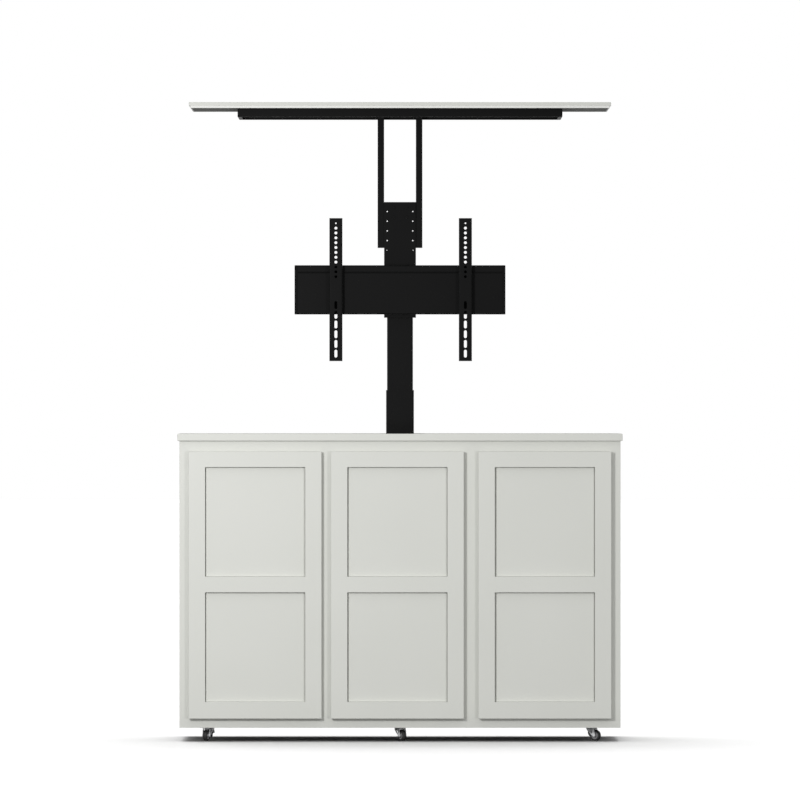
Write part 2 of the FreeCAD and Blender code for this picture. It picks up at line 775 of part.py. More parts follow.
def make_door_panels(name, left):
    """Two thin panels held in the grooves."""
    reach = "(groove_depth - groove_play)"
    across = (f"{left} + stile_width - {reach}", f"{left} + door_width - stile_width + {reach}")
    depth = ("panel_front_y", "panel_front_y + panel_board")
    low = "door_low + bottom_rail"
    high = f"{low} + panel_height + middle_rail"
    tall = [(f"{foot} - {reach}", f"{foot} + panel_height + {reach}") for foot in (low, high)]
    name_node(group([box(across, depth, stretch) for stretch in tall]), f"door_{name}_panels")


def hinge_heights():
    """Middles of the two hinges."""
    return ("door_low + hinge_from_end", "door_high - hinge_from_end")


def cup_box(left, side, height, inset):
    """Hinge cup's block, or its hollow when inset by the wall; both are open at the rear."""
    edge = hinge_edge(left, side)
    return box(
        along_door(edge, side, f"cup_edge + {inset}", f"cup_edge + cup_width - {inset}"),
        (f"door_rear_y - cup_depth + {inset}", "door_rear_y"),
        (f"{height} - cup_height / 2 + {inset}", f"{height} + cup_height / 2 - {inset}"),
    )


def pivot_x(left, side):
    """Pivot of a door, across."""
    return f"{hinge_edge(left, side)} {'+' if side > 0 else '-'} pivot_inset"


def make_hinge_cups(name, left, side):
    """Two cups let into the hinge stile, each with its pin."""
    cups = []
    for height in hinge_heights():
        shell = cut(cup_box(left, side, height, "0"), [cup_box(left, side, height, "cup_wall")])
        foot = (pivot_x(left, side), "pivot_y", f"{height} - cup_height / 2 + cup_wall / 2")
        cups.append(fuse([shell, rod("pin_radius", foot, "cup_height - cup_wall")]))
    name_node(group(cups), f"door_{name}_hinge_cups")


def make_hinge_arm(left, side, height):
    """Plate on the face frame's edge, cranked arm, and the eye round the cup's pin."""
    edge = hinge_edge(left, side)
    tall = (f"{height} - arm_height / 2", f"{height} + arm_height / 2")
    seat = "frame_lap + arm_block"
    leg_depth = ("pivot_y - arm_sheet / 2", "frame_back_y")
    plate = box(
        along_door(edge, side, "frame_lap", seat),
        ("face_y + latch_setback", "frame_back_y"),
        (f"{height} - block_height / 2", f"{height} + block_height / 2"),
    )
    leg = box(along_door(edge, side, seat, f"{seat} + arm_sheet"), leg_depth, tall)
    bridge = box(
        along_door(edge, side, "pivot_inset", f"{seat} + arm_sheet"),
        ("pivot_y - arm_sheet / 2", "pivot_y + arm_sheet / 2"),
        tall,
    )
    middle = (pivot_x(left, side), "pivot_y", tall[0])
    eye = rod("knuckle_radius", middle, "arm_height")
    bore = rod("pin_radius + pin_play", (middle[0], middle[1], f"{tall[0]} - 1"), "arm_height + 2")
    return cut(fuse([plate, leg, bridge, eye]), [bore])


def latch_x(left, side):
    """Middle of a push latch, across."""
    low, high = along_door(free_edge(left, side), -side, "frame_lap", "frame_lap + latch_width")
    return f"(({low}) + ({high})) / 2"


def make_push_latch(left, side):
    """Latch body on the mullion's edge, bored for its plunger."""
    across = along_door(free_edge(left, side), -side, "frame_lap", "frame_lap + latch_width")
    body = box(
        across,
        ("latch_front_y", "latch_front_y + latch_depth"),
        ("latch_z - latch_height / 2", "latch_z + latch_height / 2"),
    )
    mouth = (latch_x(left, side), "latch_front_y - 1", "latch_z")
    back = "plunger_front_y + plunger_length + plunger_spare"
    return cut(body, [rod("plunger_radius + pin_play", mouth, f"{back} - latch_front_y + 1", "y")])


def make_plunger(name, left, side):
    """Round plunger that the closed door presses."""
    tip = (latch_x(left, side), "plunger_front_y", "latch_z")
    name_node(rod("plunger_radius", tip, "plunger_length", "y"), f"latch_plunger_{name}")


def make_bumpers():
    """Soft discs on the face frame under each door's free corners."""
    discs = []
    for left, side in DOORS.values():
        low, high = along_door(free_edge(left, side), -side, "0", "frame_lap")
        for height in ("door_low + bumper_from_end", "door_high - bumper_from_end"):
            middle = (f"(({low}) + ({high})) / 2", "face_y - door_gap + door_touch", height)
            discs.append(rod("bumper_radius", middle, "door_gap - door_touch", "y"))
    name_node(group(discs), "door_bumpers")


def make_doors():
    """Three doors with everything that hangs and holds them."""
    arms = []
    latches = []
    for name, (left, side) in DOORS.items():
        make_door_frame(name, left, side)
        make_door_panels(name, left)
        make_hinge_cups(name, left, side)
        make_plunger(name, left, side)
        arms += [make_hinge_arm(left, side, height) for height in hinge_heights()]
        latches.append(make_push_latch(left, side))
    name_node(group(arms), "hinge_arms")
    name_node(group(latches), "push_latches")


# column

def make_tube(label, stage, low, high):
    """Rectangular tube; stage 4 is the inmost and every other one a step larger."""
    grow = f"{4 - stage} * tube_step"
    part = new_body("Tube", ("0", "column_y", low))
    drawing = draw(part, "XY_Plane")
    for less in ("0", "tube_wall"):
        half_width = f"tube_width / 2 + {grow} - {less}"
        half_depth = f"tube_depth / 2 + {grow} - {less}"
        rectangle(drawing, (f"-({half_width})", half_width), (f"-({half_depth})", half_depth))
    pad(part, drawing, f"{high} - ({low})")
    middle = number(f"tube_width / 2 + {grow} - tube_wall / 2")
    inner_corner = number(f"tube_width / 2 + {grow} - tube_wall")
    round_edges(part, "tube_round", lambda start, end: upright(start, end) and abs(start.x) > middle)
    round_edges(part, "tube_round - tube_wall", lambda start, end: is_inner_corner(start, end, inner_corner))
    name_node(part, label)


def is_inner_corner(start, end, reach):
    """True for an upright edge that stands at the tube's inner corners."""
    return upright(start, end) and abs(abs(start.x) - reach) < 0.001


def glide_ring(stage, low, inside):
    """Four pads on a tube: outside at its foot, or inside at its mouth."""
    half_width = f"tube_width / 2 + {4 - stage} * tube_step"
    half_depth = f"tube_depth / 2 + {4 - stage} * tube_step"
    if inside:
        half_width += " - tube_wall"
        half_depth += " - tube_wall"
    outward = "- glide_sheet" if inside else "+ glide_sheet"
    tall = (low, f"{low} + glide_height")
    pads = []
    for sign in (1, -1):
        front = (f"{half_depth}", f"{half_depth} {outward}")
        side = (f"{half_width}", f"{half_width} {outward}")
        near, far = reversed(front) if inside else front
        reach_y = (f"column_y + {near}", f"column_y + {far}")
        if sign < 0:
            reach_y = (f"column_y - ({far})", f"column_y - ({near})")
        pads.append(box(("-glide_width / 2", "glide_width / 2"), reach_y, tall))
        near, far = reversed(side) if inside else side
        reach_x = (near, far) if sign > 0 else (f"-({far})", f"-({near})")
        pads.append(box(reach_x, ("column_y - glide_width / 2", "column_y + glide_width / 2"), tall))
    return pads


def make_column():
    """Four nested tubes and their glide pads."""
    make_tube("column_stage_1", 1, "base_top", "high_one")
    make_tube("column_stage_2", 2, "low_two", "high_two")
    make_tube("column_stage_3", 3, "low_three", "high_three")
    make_tube("column_stage_4", 4, "low_four", "high_four")
    mouth = "- glide_from_end - glide_height"
    inside_one = glide_ring(1, f"high_one {mouth}", True)
    inside_two = glide_ring(2, f"high_two {mouth}", True)
    inside_three = glide_ring(3, f"high_three {mouth}", True)
    name_node(group(inside_one), "column_glides_1")
    name_node(group(glide_ring(2, "low_two", False) + inside_two), "column_glides_2")
    name_node(group(glide_ring(3, "low_three", False) + inside_three), "column_glides_3")
    name_node(group(glide_ring(4, "low_four", False)), "column_glides_4")


def make_column_base():
    """Base plate under the first tube, with its screw holes."""
    across = ("-base_width / 2", "base_width / 2")
    along = ("column_y - base_depth / 2", "column_y + base_depth / 2")
    plate = box(across, along, ("floor_top", "base_top"))
    holes = tapped(base_screw_places(), "floor_top - 1", "screw_shank", "base_sheet + 2")
    name_node(cut(plate, holes), "column_base")


def make_steady_bracket():
    """Folded bracket between the first tube and the back board."""
    part = new_body("Steady", ("0", "0", "high_one - steady_drop - steady_height"))
    drawing = draw(part, "XY_Plane")
    rectangle(drawing, ("-steady_width / 2", "steady_width / 2"), ("column_back_y", "inner_back_y"))
    rectangle(drawing, ("-steady_width / 2 + steady_sheet", "steady_width / 2 - steady_sheet"),
              ("column_back_y + steady_sheet", "inner_back_y - steady_sheet"))
    pad(part, drawing, "steady_height")
    name_node(part, "steady_bracket")


# drive

def make_motor():
    """Upright motor inside the tubes, with a bored bearing boss on top."""
    motor = rod("motor_radius", ("0", "column_y", "base_top"), "motor_height")
    boss = rod("boss_radius", ("0", "column_y", "motor_top"), "boss_height")
    bore_foot = ("0", "column_y", "boss_top - tail_length - screw_rest")
    bore = rod("tail_radius + pin_play", bore_foot, "boss_height")
    name_node(cut(fuse([motor, boss]), [bore]), "drive_motor")


def make_screw():
    """Lead screw standing on the boss, its tail in the bore."""
    shaft = rod("screw_radius", ("0", "column_y", "screw_low"), "screw_high - screw_low")
    tail = rod("tail_radius", ("0", "column_y", "screw_low - tail_length"), "tail_length")
    name_node(fuse([shaft, tail]), "drive_screw")


def make_nut():
    """Foot plate in the second tube, with a sleeve over the motor and the nut at its head."""
    part = new_body("Nut", ("0", "column_y", "low_two"))
    plate = draw(part, "XY_Plane")
    half_width = "tube_width / 2 + 2 * tube_step - tube_wall - glide_play"
    half_depth = "tube_depth / 2 + 2 * tube_step - tube_wall - glide_play"
    rectangle(plate, (f"-({half_width})", half_width), (f"-({half_depth})", half_depth))
    pad(part, plate, "foot_sheet")
    round_edges(part, "tube_round", upright)
    sleeve = draw(part, "XY_Plane")
    circle(sleeve, "0", "0", "sleeve_inside + sleeve_wall")
    pad(part, sleeve, "sleeve_height + nut_height")
    hollow = draw(part, "XY_Plane")
    circle(hollow, "0", "0", "sleeve_inside")
    pocket(part, hollow, "2 * sleeve_height")
    bore = draw(part, "XY_Plane")
    circle(bore, "0", "0", "screw_radius + pin_play")
    pocket(part, bore)
    name_node(part, "lift_nut")


# head

def make_cap():
    """Cap on the inmost tube, reaching forward to a flange behind the lid bracket."""
    plate = box(("-tube_width / 2", "tube_width / 2"), ("bracket_back_y", "column_y + tube_depth / 2"),
                ("high_four", "cap_top"))
    flange = box(("-cap_flange_width / 2", "cap_flange_width / 2"), ("bracket_back_y", "flange_back_y"),
                 ("cap_top - cap_flange_height", "cap_top"))
    holes = tapped(hang_bolt_places(), "bracket_back_y - 1", "bolt_radius", "cap_flange_sheet + 2", "y")
    name_node(cut(fuse([plate, flange]), holes), "column_cap")


def stop_holes(part, first, count):
    """Rows of height holes, from the lowest pair upwards."""
    drawing = draw(part, "XZ_Plane")
    for sign in ("-", ""):
        circle(drawing, f"{sign}stop_hole_across / 2", first, "stop_hole_radius")
    holes = pocket(part, drawing)
    repeat_up(part, holes, drawing, f"{count - 1} * stop_hole_pitch", str(count))


def bolt_holes(part, places):
    """Clearance holes through an upright plate."""
    drawing = draw(part, "XZ_Plane")
    for across, up in places:
        circle(drawing, across, up, "bolt_radius + bolt_play")
    pocket(part, drawing)


def make_head_plate():
    """Upright plate that carries the cross plate."""
    part = new_body("Head", ("0", "bracket_front_y", "0"))
    drawing = draw(part, "XZ_Plane")
    rectangle(drawing, ("-head_width / 2", "head_width / 2"), ("head_low", "head_top"))
    pad(part, drawing, "head_sheet")
    bolt_holes(part, hang_bolt_places() + cross_bolt_places())
    stop_holes(part, "head_top - stop_hole_drop - 4 * stop_hole_pitch", 5)
    name_node(part, "head_plate")


def make_lid_bracket():
    """Plate behind the head plate that rises as two uprights to a flange under the tray."""
    part = new_body("Bracket", ("0", "bracket_back_y", "0"))
    drawing = draw(part, "XZ_Plane")
    rectangle(drawing, ("-bracket_x", "bracket_x"), ("bracket_low", "tray_inside"))
    pad(part, drawing, "bracket_sheet")
    flange = draw(part, "XZ_Plane")
    rectangle(flange, ("-bracket_x", "bracket_x"), ("tray_inside - bracket_sheet", "tray_inside"))
    pad(part, flange, "bracket_sheet + bracket_foot")
    window = draw(part, "XZ_Plane")
    rectangle(window, ("-head_width / 2", "head_width / 2"), ("head_top", "tray_inside - bracket_sheet"))
    pocket(part, window)
    bolt_holes(part, hang_bolt_places())
    stop_holes(part, "head_top - stop_hole_drop - 3 * stop_hole_pitch", 4)
    under_flange = "tray_inside - bracket_sheet - 1"
    holes = tapped(foot_screw_places(), under_flange, "screw_shank", "bracket_sheet + 2")
    name_node(cut(part, holes), "lid_bracket")


def make_cross_plate():
    """Channel with rear lips and a shallow crease along its face, closed by an end cap at each end."""
    part = new_body("Cross", ("0", "cross_front_y", "cross_low"))
    drawing = draw(part, "YZ_Plane")
    outline(drawing, [
        ("0", "0"),
        ("cross_depth", "0"),
        ("cross_depth", "cross_lip"),
        ("cross_depth - cross_sheet", "cross_lip"),
        ("cross_depth - cross_sheet", "cross_sheet"),
        ("cross_sheet", "cross_sheet"),
        ("cross_sheet", "cross_height - crease_drop"),
        ("cross_sheet + crease_step", "cross_height - crease_drop"),
        ("cross_sheet + crease_step", "cross_height - cross_sheet"),
        ("cross_depth - cross_sheet", "cross_height - cross_sheet"),
        ("cross_depth - cross_sheet", "cross_height - cross_lip"),
        ("cross_depth", "cross_height - cross_lip"),
        ("cross_depth", "cross_height"),
        ("crease_step", "cross_height"),
        ("crease_step", "cross_height - crease_drop"),
        ("0", "cross_height - crease_drop"),
    ])
    pad(part, drawing, "cross_width - 2 * cross_end", both_ways=True)
    start = "head_front_y - cross_sheet - 1"
    holes = tapped(cross_bolt_places(), start, "bolt_radius", "cross_sheet + 2", "y")
    name_node(group([cut(part, holes)] + cross_ends()), "tv_cross_plate")


def cross_ends():
    """End caps of the cross plate."""
    depth = ("cross_front_y + cross_end_set", "head_front_y")
    tall = ("cross_low", "cross_top")
    inner = "cross_width / 2 - cross_end"
    right = box((inner, "cross_width / 2"), depth, tall)
    left = box(("-cross_width / 2", f"-({inner})"), depth, tall)
    return [left, right]


def make_rail(label, middle):
    """Upright channel with a row of round holes above, the topmost a small one, and slots below."""
    part = new_body("Rail", (middle, "rail_front_y", "rail_low"))
    drawing = draw(part, "XY_Plane")
    outline(drawing, [
        ("-rail_width / 2", "0"),
        ("rail_width / 2", "0"),
        ("rail_width / 2", "rail_depth"),
        ("rail_width / 2 - rail_sheet", "rail_depth"),
        ("rail_width / 2 - rail_sheet", "rail_sheet"),
        ("rail_sheet - rail_width / 2", "rail_sheet"),
        ("rail_sheet - rail_width / 2", "rail_depth"),
        ("-rail_width / 2", "rail_depth"),
    ])
    pad(part, drawing, "rail_length")
    round_edges(part, "rail_bend", lambda start, end: upright(start, end) and abs(start.y) < 0.001)
    hole = draw(part, "XZ_Plane")
    circle(hole, "0", "rail_length - hole_from_end - (hole_count - 1) * hole_pitch", "hole_radius")
    repeat_up(part, pocket(part, hole), hole, "(hole_count - 2) * hole_pitch", "hole_count - 1")
    end_hole = draw(part, "XZ_Plane")
    circle(end_hole, "0", "rail_length - hole_from_end", "end_hole_radius")
    pocket(part, end_hole)
    slot = draw(part, "XZ_Plane")
    half = "(slot_length / 2 - slot_radius)"
    upright_slot(slot, f"slot_from_end - {half}", f"slot_from_end + {half}", "slot_radius")
    repeat_up(part, pocket(part, slot), slot, "(slot_count - 1) * slot_pitch", "slot_count")
    name_node(part, label)


def rail_hooks(middle):
    """Two tabs of a rail over the cross plate and two under it, clear of its slots, and the lock knob."""
    depth = ("rail_front_y + rail_sheet", "cross_front_y + hook_grip")
    upper, lower = ("cross_top", "cross_top + hook_height"), ("cross_low - hook_height", "cross_low")
    left = (f"{middle} - hook_width / 2", f"{middle} - hook_width / 2 + hook_tab")
    right = (f"{middle} + hook_width / 2 - hook_tab", f"{middle} + hook_width / 2")
    foot = (f"{middle} + (hook_width - hook_tab) / 2", "rail_front_y + rail_depth / 2",
            "cross_low - hook_height - knob_height")
    locked = fuse([box(right, depth, lower), rod("knob_radius", foot, "knob_height")])
    return [box(left, depth, upper), box(right, depth, upper), box(left, depth, lower), locked]


def bolt(across, up, head_y, tip_y):
    """Bolt along +y with its head at the front."""
    head = rod("bolt_head_radius", (across, f"{head_y} - bolt_head", up), "bolt_head", "y")
    shank = rod("bolt_radius", (across, head_y, up), f"{tip_y} - ({head_y})", "y")
    return [head, shank]


def lid_screw(across, along, face):
    """Screw up into the lid panel, its head under the given face."""
    head = rod("bolt_head_radius", (across, along, f"{face} - bolt_head"), "bolt_head")
    shank = rod("screw_shank", (across, along, face), f"lid_middle + screw_bite - ({face})")
    return fuse([head, shank])


def make_lift_fasteners():
    """Rail hooks, bolts of the head and screws of the lid."""
    pieces = rail_hooks("left_rail_x") + rail_hooks("right_rail_x")
    for across, up in hang_bolt_places():
        pieces.append(fuse(bolt(across, up, "head_front_y", "flange_back_y")))
    for across, up in cross_bolt_places():
        nut = rod("bolt_head_radius", (across, "bracket_front_y", up), "bolt_nut", "y")
        pieces.append(fuse(bolt(across, up, "head_front_y - cross_sheet", "bracket_front_y") + [nut]))
    pieces += [lid_screw(across, along, "tray_inside") for across, along in tray_screw_places()]
    under_flange = "tray_inside - bracket_sheet"
    pieces += [lid_screw(across, along, under_flange) for across, along in foot_screw_places()]
    name_node(group(pieces), "lift_fasteners")


def tray_edge(wall, lip):
    """Upright wall of the tray with the lip at its foot; each is a pair of ranges, across and along."""
    upright_part = box(*wall, ("tray_low", "tray_inside"))
    foot = box(*lip, ("tray_low", "tray_low + tray_sheet"))
    return fuse([upright_part, foot])


def make_tray():
    """Sheet tray, open below: a plate under the lid, with four lipped edges welded to it."""
    outer_x, outer_y = ("-tray_x", "tray_x"), ("tray_front_y", "tray_back_y")
    sheet_x = ("tray_sheet - tray_x", "tray_x - tray_sheet")
    sheet_y = ("tray_front_y + tray_sheet", "tray_back_y - tray_sheet")
    lip_y = ("tray_front_y + tray_lip", "tray_back_y - tray_lip")
    screws = tray_screw_places() + foot_screw_places()
    holes = tapped(screws, "tray_inside - 1", "screw_shank", "tray_sheet + 2")
    plate = cut(box(outer_x, outer_y, ("tray_inside", "lid_low")), holes)
    edges = [
        tray_edge((outer_x, ("tray_front_y", sheet_y[0])), (sheet_x, ("tray_front_y", lip_y[0]))),
        tray_edge((outer_x, (sheet_y[1], "tray_back_y")), (sheet_x, (lip_y[1], "tray_back_y"))),
        tray_edge((("-tray_x", sheet_x[0]), sheet_y), (("-tray_x", "tray_lip - tray_x"), lip_y)),
        tray_edge(((sheet_x[1], "tray_x"), sheet_y), (("tray_x - tray_lip", "tray_x"), lip_y)),
    ]
    name_node(group([plate] + edges), "lid_tray")


def make_lid():
    """Lid panel, and under it a slightly smaller board with a leaning edge."""
    panel = new_body("Lid", ("0", "0", "lid_middle"))
    drawing = draw(panel, "XY_Plane")
    rectangle(drawing, ("-lid_x", "lid_x"), ("lid_front_y", "lid_back_y"))
    pad(panel, drawing, "lid_board")
    rim = panel.Tip.Shape.BoundBox
    round_edges(panel, "lid_round", lambda start, end: min(start.z, end.z) > rim.ZMax - 0.001)
    places = tray_screw_places() + foot_screw_places()
    name_node(cut(panel, tapped(places, "lid_middle - 1", "screw_shank", "screw_bite + 2")), "lid_panel")

    board = new_body("UnderBoard", ("0", "0", "lid_low"))
    drawing = draw(board, "XY_Plane")
    inset = "(under_inset + under_bevel)"
    rectangle(drawing, (f"-lid_x + {inset}", f"lid_x - {inset}"),
              (f"lid_front_y + {inset}", f"lid_back_y - {inset}"))
    raised = pad(board, drawing, "under_board")
    hold(raised, "TaperAngle", "atan(under_bevel / under_board)")
    doc.recompute()
    name_node(cut(board, tapped(places, "lid_low - 1", "screw_shank", "under_board + 2")), "lid_under_board")


# castors

def place_castor(thing, across, along, angle):
    """Turns a castor part about its swivel axis and stands it under the floor board."""
    thing.Placement = Placement(Vector(), Rotation(Vector(0, 0, 1), angle))
    hold(thing, "Placement.Base.x", across)
    hold(thing, "Placement.Base.y", along)


def make_fork(name, spot):
    """Bent sheet fork with triangular cheeks, and its riveted axle."""
    part = new_body("Fork")
    side = draw(part, "XZ_Plane")
    outline(side, [
        ("-fork_back", "fork_top"),
        ("-fork_back", "crown_low - 2"),
        ("trail - cheek_nose", "wheel_radius - cheek_nose / 2"),
        ("trail - cheek_nose / 2", "wheel_radius - cheek_nose"),
        ("trail + cheek_nose / 2", "wheel_radius - cheek_nose"),
        ("trail + cheek_nose", "wheel_radius - cheek_nose / 2"),
        ("trail + cheek_nose", "wheel_radius + cheek_nose / 2"),
        ("fork_front", "fork_top"),
    ])
    pad(part, side, "2 * cheek_y", both_ways=True)
    between = draw(part, "XZ_Plane")
    rectangle(between, ("-fork_back - 1", "trail + cheek_nose + 1"), ("0", "crown_low"))
    pocket(part, between, "fork_inside")
    window = draw(part, "XZ_Plane")
    outline(window, [
        ("-window_back", "crown_low - 1"),
        ("window_front", "crown_low - 1"),
        ("window_front - 1", "wheel_radius + window_foot"),
        ("window_front - 4", "wheel_radius + window_foot"),
    ])
    pocket(part, window)
    axle_hole = draw(part, "XZ_Plane")
    circle(axle_hole, "trail", "wheel_radius", "axle_radius + pin_play")
    pocket(part, axle_hole)
    swivel_hole = draw(part, "XY_Plane")
    circle(swivel_hole, "0", "0", "kingpin_radius + pin_play")
    swivel = part.newObject("PartDesign::Pocket", "SwivelHole")
    swivel.Profile = swivel_hole
    swivel.SideType = "Symmetric"
    swivel.Type = "ThroughAll"
    doc.recompute()
    shaft = rod("axle_radius", ("trail", "-cheek_y", "wheel_radius"), "2 * cheek_y", "y")
    heads = [
        rod("axle_head_radius", ("trail", start, "wheel_radius"), "axle_head", "y")
        for start in ("-cheek_y - axle_head", "cheek_y")
    ]
    fork = group([part, fuse([shaft] + heads)])
    place_castor(fork, *spot)
    name_node(fork, f"castor_fork_{name}")


def make_wheel(name, spot):
    """Hub with its boss, and the tyre round it."""
    boss = "fork_inside / 2 - hub_side_play"
    hub = turned("Hub", [
        ("axle_radius + pin_play", f"-({boss})"),
        ("hub_radius", f"-({boss})"),
        ("hub_radius", "-rim_width / 2"),
        ("rim_radius", "-rim_width / 2"),
        ("rim_radius", "rim_width / 2"),
        ("hub_radius", "rim_width / 2"),
        ("hub_radius", boss),
        ("axle_radius + pin_play", boss),
    ])
    tyre = turned("Tyre", [
        ("rim_radius", "-wheel_width / 2"),
        ("wheel_radius - tyre_shoulder", "-wheel_width / 2"),
        ("wheel_radius", "tyre_shoulder - wheel_width / 2"),
        ("wheel_radius", "wheel_width / 2 - tyre_shoulder"),
        ("wheel_radius - tyre_shoulder", "wheel_width / 2"),
        ("rim_radius", "wheel_width / 2"),
    ])
    for ring in (hub, tyre):
        ring.Placement = Placement(Vector(), Rotation(Vector(1, 0, 0), 90))
        hold(ring, "Placement.Base.x", "trail")
        hold(ring, "Placement.Base.z", "wheel_radius")
    wheel = group([hub, tyre])
    place_castor(wheel, *spot)
    name_node(wheel, f"castor_wheel_{name}")


def make_castor_plate(across, along):
    """Square plate, bearing race and headed kingpin as one piece."""
    half = "castor_plate / 2"
    plate = box((f"{across} - {half}", f"{across} + {half}"), (f"{along} - {half}", f"{along} + {half}"),
                ("plate_low", "castor_height"))
    race = rod("race_radius", (across, along, "race_low"), "race_height")
    low = "kingpin_head_top - castor_sheet"
    pin = rod("kingpin_radius", (across, along, low), f"plate_low - ({low})")
    head = rod("kingpin_head_radius", (across, along, low), "castor_sheet")
    return fuse([plate, race, pin, head])


def make_castors():
    """Six swivel castors."""
    plates = []
    for name, spot in CASTORS.items():
        plates.append(make_castor_plate(*spot[:2]))
        make_fork(name, spot)
        make_wheel(name, spot)
    holes = tapped(castor_screw_places(), "plate_low - 1", "castor_screw", "castor_sheet + 2")
    name_node(cut(group(plates), holes), "castor_plates")


# small parts of the cabinet

def make_cabinet_screws():
    """Screws of the castor plates and of the base plate."""
    screws = []
    for across, along in castor_screw_places():
        head = rod("castor_screw_head", (across, along, "plate_low - castor_screw_cap"), "castor_screw_cap")
        shank = rod("castor_screw", (across, along, "plate_low"), "castor_sheet + floor_bite")
        screws.append(fuse([head, shank]))
    for across, along in base_screw_places():
        head = rod("bolt_head_radius", (across, along, "base_top"), "bolt_head")
        shank = rod("screw_shank", (across, along, "floor_top - floor_bite"), "floor_bite + base_sheet")
        screws.append(fuse([head, shank]))
    name_node(group(screws), "cabinet_screws")


def make_control_box():
    """Rounded box on the back board, with two sockets in its underside."""
    part = new_body("Control", ("0", "0", "floor_top + control_lift"))
    drawing = draw(part, "XY_Plane")
    across = ("control_across", "control_across + control_width")
    rectangle(drawing, across, ("inner_back_y - control_depth", "inner_back_y"))
    pad(part, drawing, "control_height")
    round_edges(part, "control_round", upright)
    sockets = draw(part, "XY_Plane")
    for share in ("0.3", "0.7"):
        middle = f"control_across + {share} * control_width"
        rectangle(sockets, (f"{middle} - socket_width / 2", f"{middle} + socket_width / 2"),
                  ("inner_back_y - control_depth + 12", "inner_back_y - 12"))
    pocket(part, sockets, "socket_width")
    name_node(part, "control_box")


def make_gland():
    """Bush through the back board with a flange inside the cabinet."""
    bush = turned("Gland", [
        ("gland_bore", "0"),
        ("gland_flange", "0"),
        ("gland_flange", "gland_sheet"),
        ("gland_radius", "gland_sheet"),
        ("gland_radius", "gland_sheet + back_board"),
        ("gland_bore", "gland_sheet + back_board"),
    ])
    bush.Placement = Placement(Vector(), Rotation(Vector(1, 0, 0), -90))
    hold(bush, "Placement.Base.x", "gland_across")
    hold(bush, "Placement.Base.y", "inner_back_y - gland_sheet")
    hold(bush, "Placement.Base.z", "floor_top + gland_lift")
    name_node(bush, "cable_gland")


def check_and_write():
    """Stops on any failed object or bad shape, then writes one file for each sub-part."""
    doc.recompute()
    failed = [thing.Label for thing in doc.Objects if {"Invalid", "Error"} & set(thing.State)]
    bad = [node.Label for node in nodes if node.Shape.isNull() or not node.Shape.isValid()]
    if failed or bad:
        raise RuntimeError(f"failed objects: {failed}; bad shapes: {bad}")
    os.makedirs("parts", exist_ok=True)
    for node in nodes:
        node.Shape.exportStep(f"parts/{node.Label}.step")
        print(node.Label, len(node.Shape.Solids), round(node.Shape.Volume, 1))
    print(len(nodes), "nodes")


fill_sheet()
fill_places()
make_sides()
make_floor()
make_back()
make_face_frame()
make_top()
make_doors()
make_bumpers()
make_column_base()
make_column()
make_steady_bracket()
make_motor()
make_screw()
make_nut()
make_cap()
make_head_plate()
make_lid_bracket()
make_cross_plate()
make_rail("vesa_rail_left", "left_rail_x")
make_rail("vesa_rail_right", "right_rail_x")
make_tray()
make_lid()
make_lift_fasteners()
make_castors()
make_cabinet_screws()
make_control_box()
make_gland()
check_and_write()
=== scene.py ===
import json
import math

import bmesh
import bpy
import numpy as np
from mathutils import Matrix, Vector

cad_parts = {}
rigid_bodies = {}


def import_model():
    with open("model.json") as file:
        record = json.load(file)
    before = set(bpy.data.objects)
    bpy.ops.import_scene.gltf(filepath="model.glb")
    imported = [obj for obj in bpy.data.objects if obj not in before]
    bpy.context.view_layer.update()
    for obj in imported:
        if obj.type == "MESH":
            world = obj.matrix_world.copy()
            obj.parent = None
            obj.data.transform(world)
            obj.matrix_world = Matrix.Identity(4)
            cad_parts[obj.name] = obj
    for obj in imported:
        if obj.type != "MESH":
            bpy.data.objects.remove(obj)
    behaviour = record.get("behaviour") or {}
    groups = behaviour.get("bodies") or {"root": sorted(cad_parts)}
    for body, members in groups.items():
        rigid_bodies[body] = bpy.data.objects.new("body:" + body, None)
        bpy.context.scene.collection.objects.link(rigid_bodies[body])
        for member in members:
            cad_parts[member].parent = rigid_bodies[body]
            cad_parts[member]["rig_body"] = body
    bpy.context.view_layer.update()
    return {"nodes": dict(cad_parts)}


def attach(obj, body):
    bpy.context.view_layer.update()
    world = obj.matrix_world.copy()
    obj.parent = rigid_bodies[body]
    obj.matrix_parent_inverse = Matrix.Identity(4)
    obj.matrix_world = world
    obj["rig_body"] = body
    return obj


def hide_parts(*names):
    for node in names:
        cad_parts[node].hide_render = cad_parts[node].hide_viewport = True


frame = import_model()
mm = 0.001  # all shapes below are in millimetres, with the front towards -y and the floor at z 0

# Surfaces. Each gives points in millimetres, quads and caps, with the faces turned out.

meshValues = {
    "smallestCorner": 0.05,  # the least rounding of a rounded rectangle's corners
    "pathSamples": 8001,  # points on the line of a bent path
    "bendStep": 18,  # degrees of a bend between two cuts
    "sharpAngle": 40,  # degrees past which a bevel eases an edge
    "bevelSegments": 2,  # quads across a bevel
}


def turnedOut(points, quads, caps=()):
    # Six times the volume under all faces, as corner dot (second cross third); below zero the
    # faces are reversed.
    fans = [np.stack([np.full(len(cap) - 2, cap[0]), cap[1:-1], cap[2:]], -1) for cap in caps]
    triangles = np.concatenate([quads[:, [0, 1, 2]], quads[:, [0, 2, 3]]] + fans)
    first, second, third = (points[triangles[:, k]] - points.mean(0) for k in range(3))
    if np.einsum("ij,ij->", first, np.cross(second, third)) < 0:
        quads, caps = quads[:, ::-1], [cap[::-1] for cap in caps]
    return points, quads, list(caps)


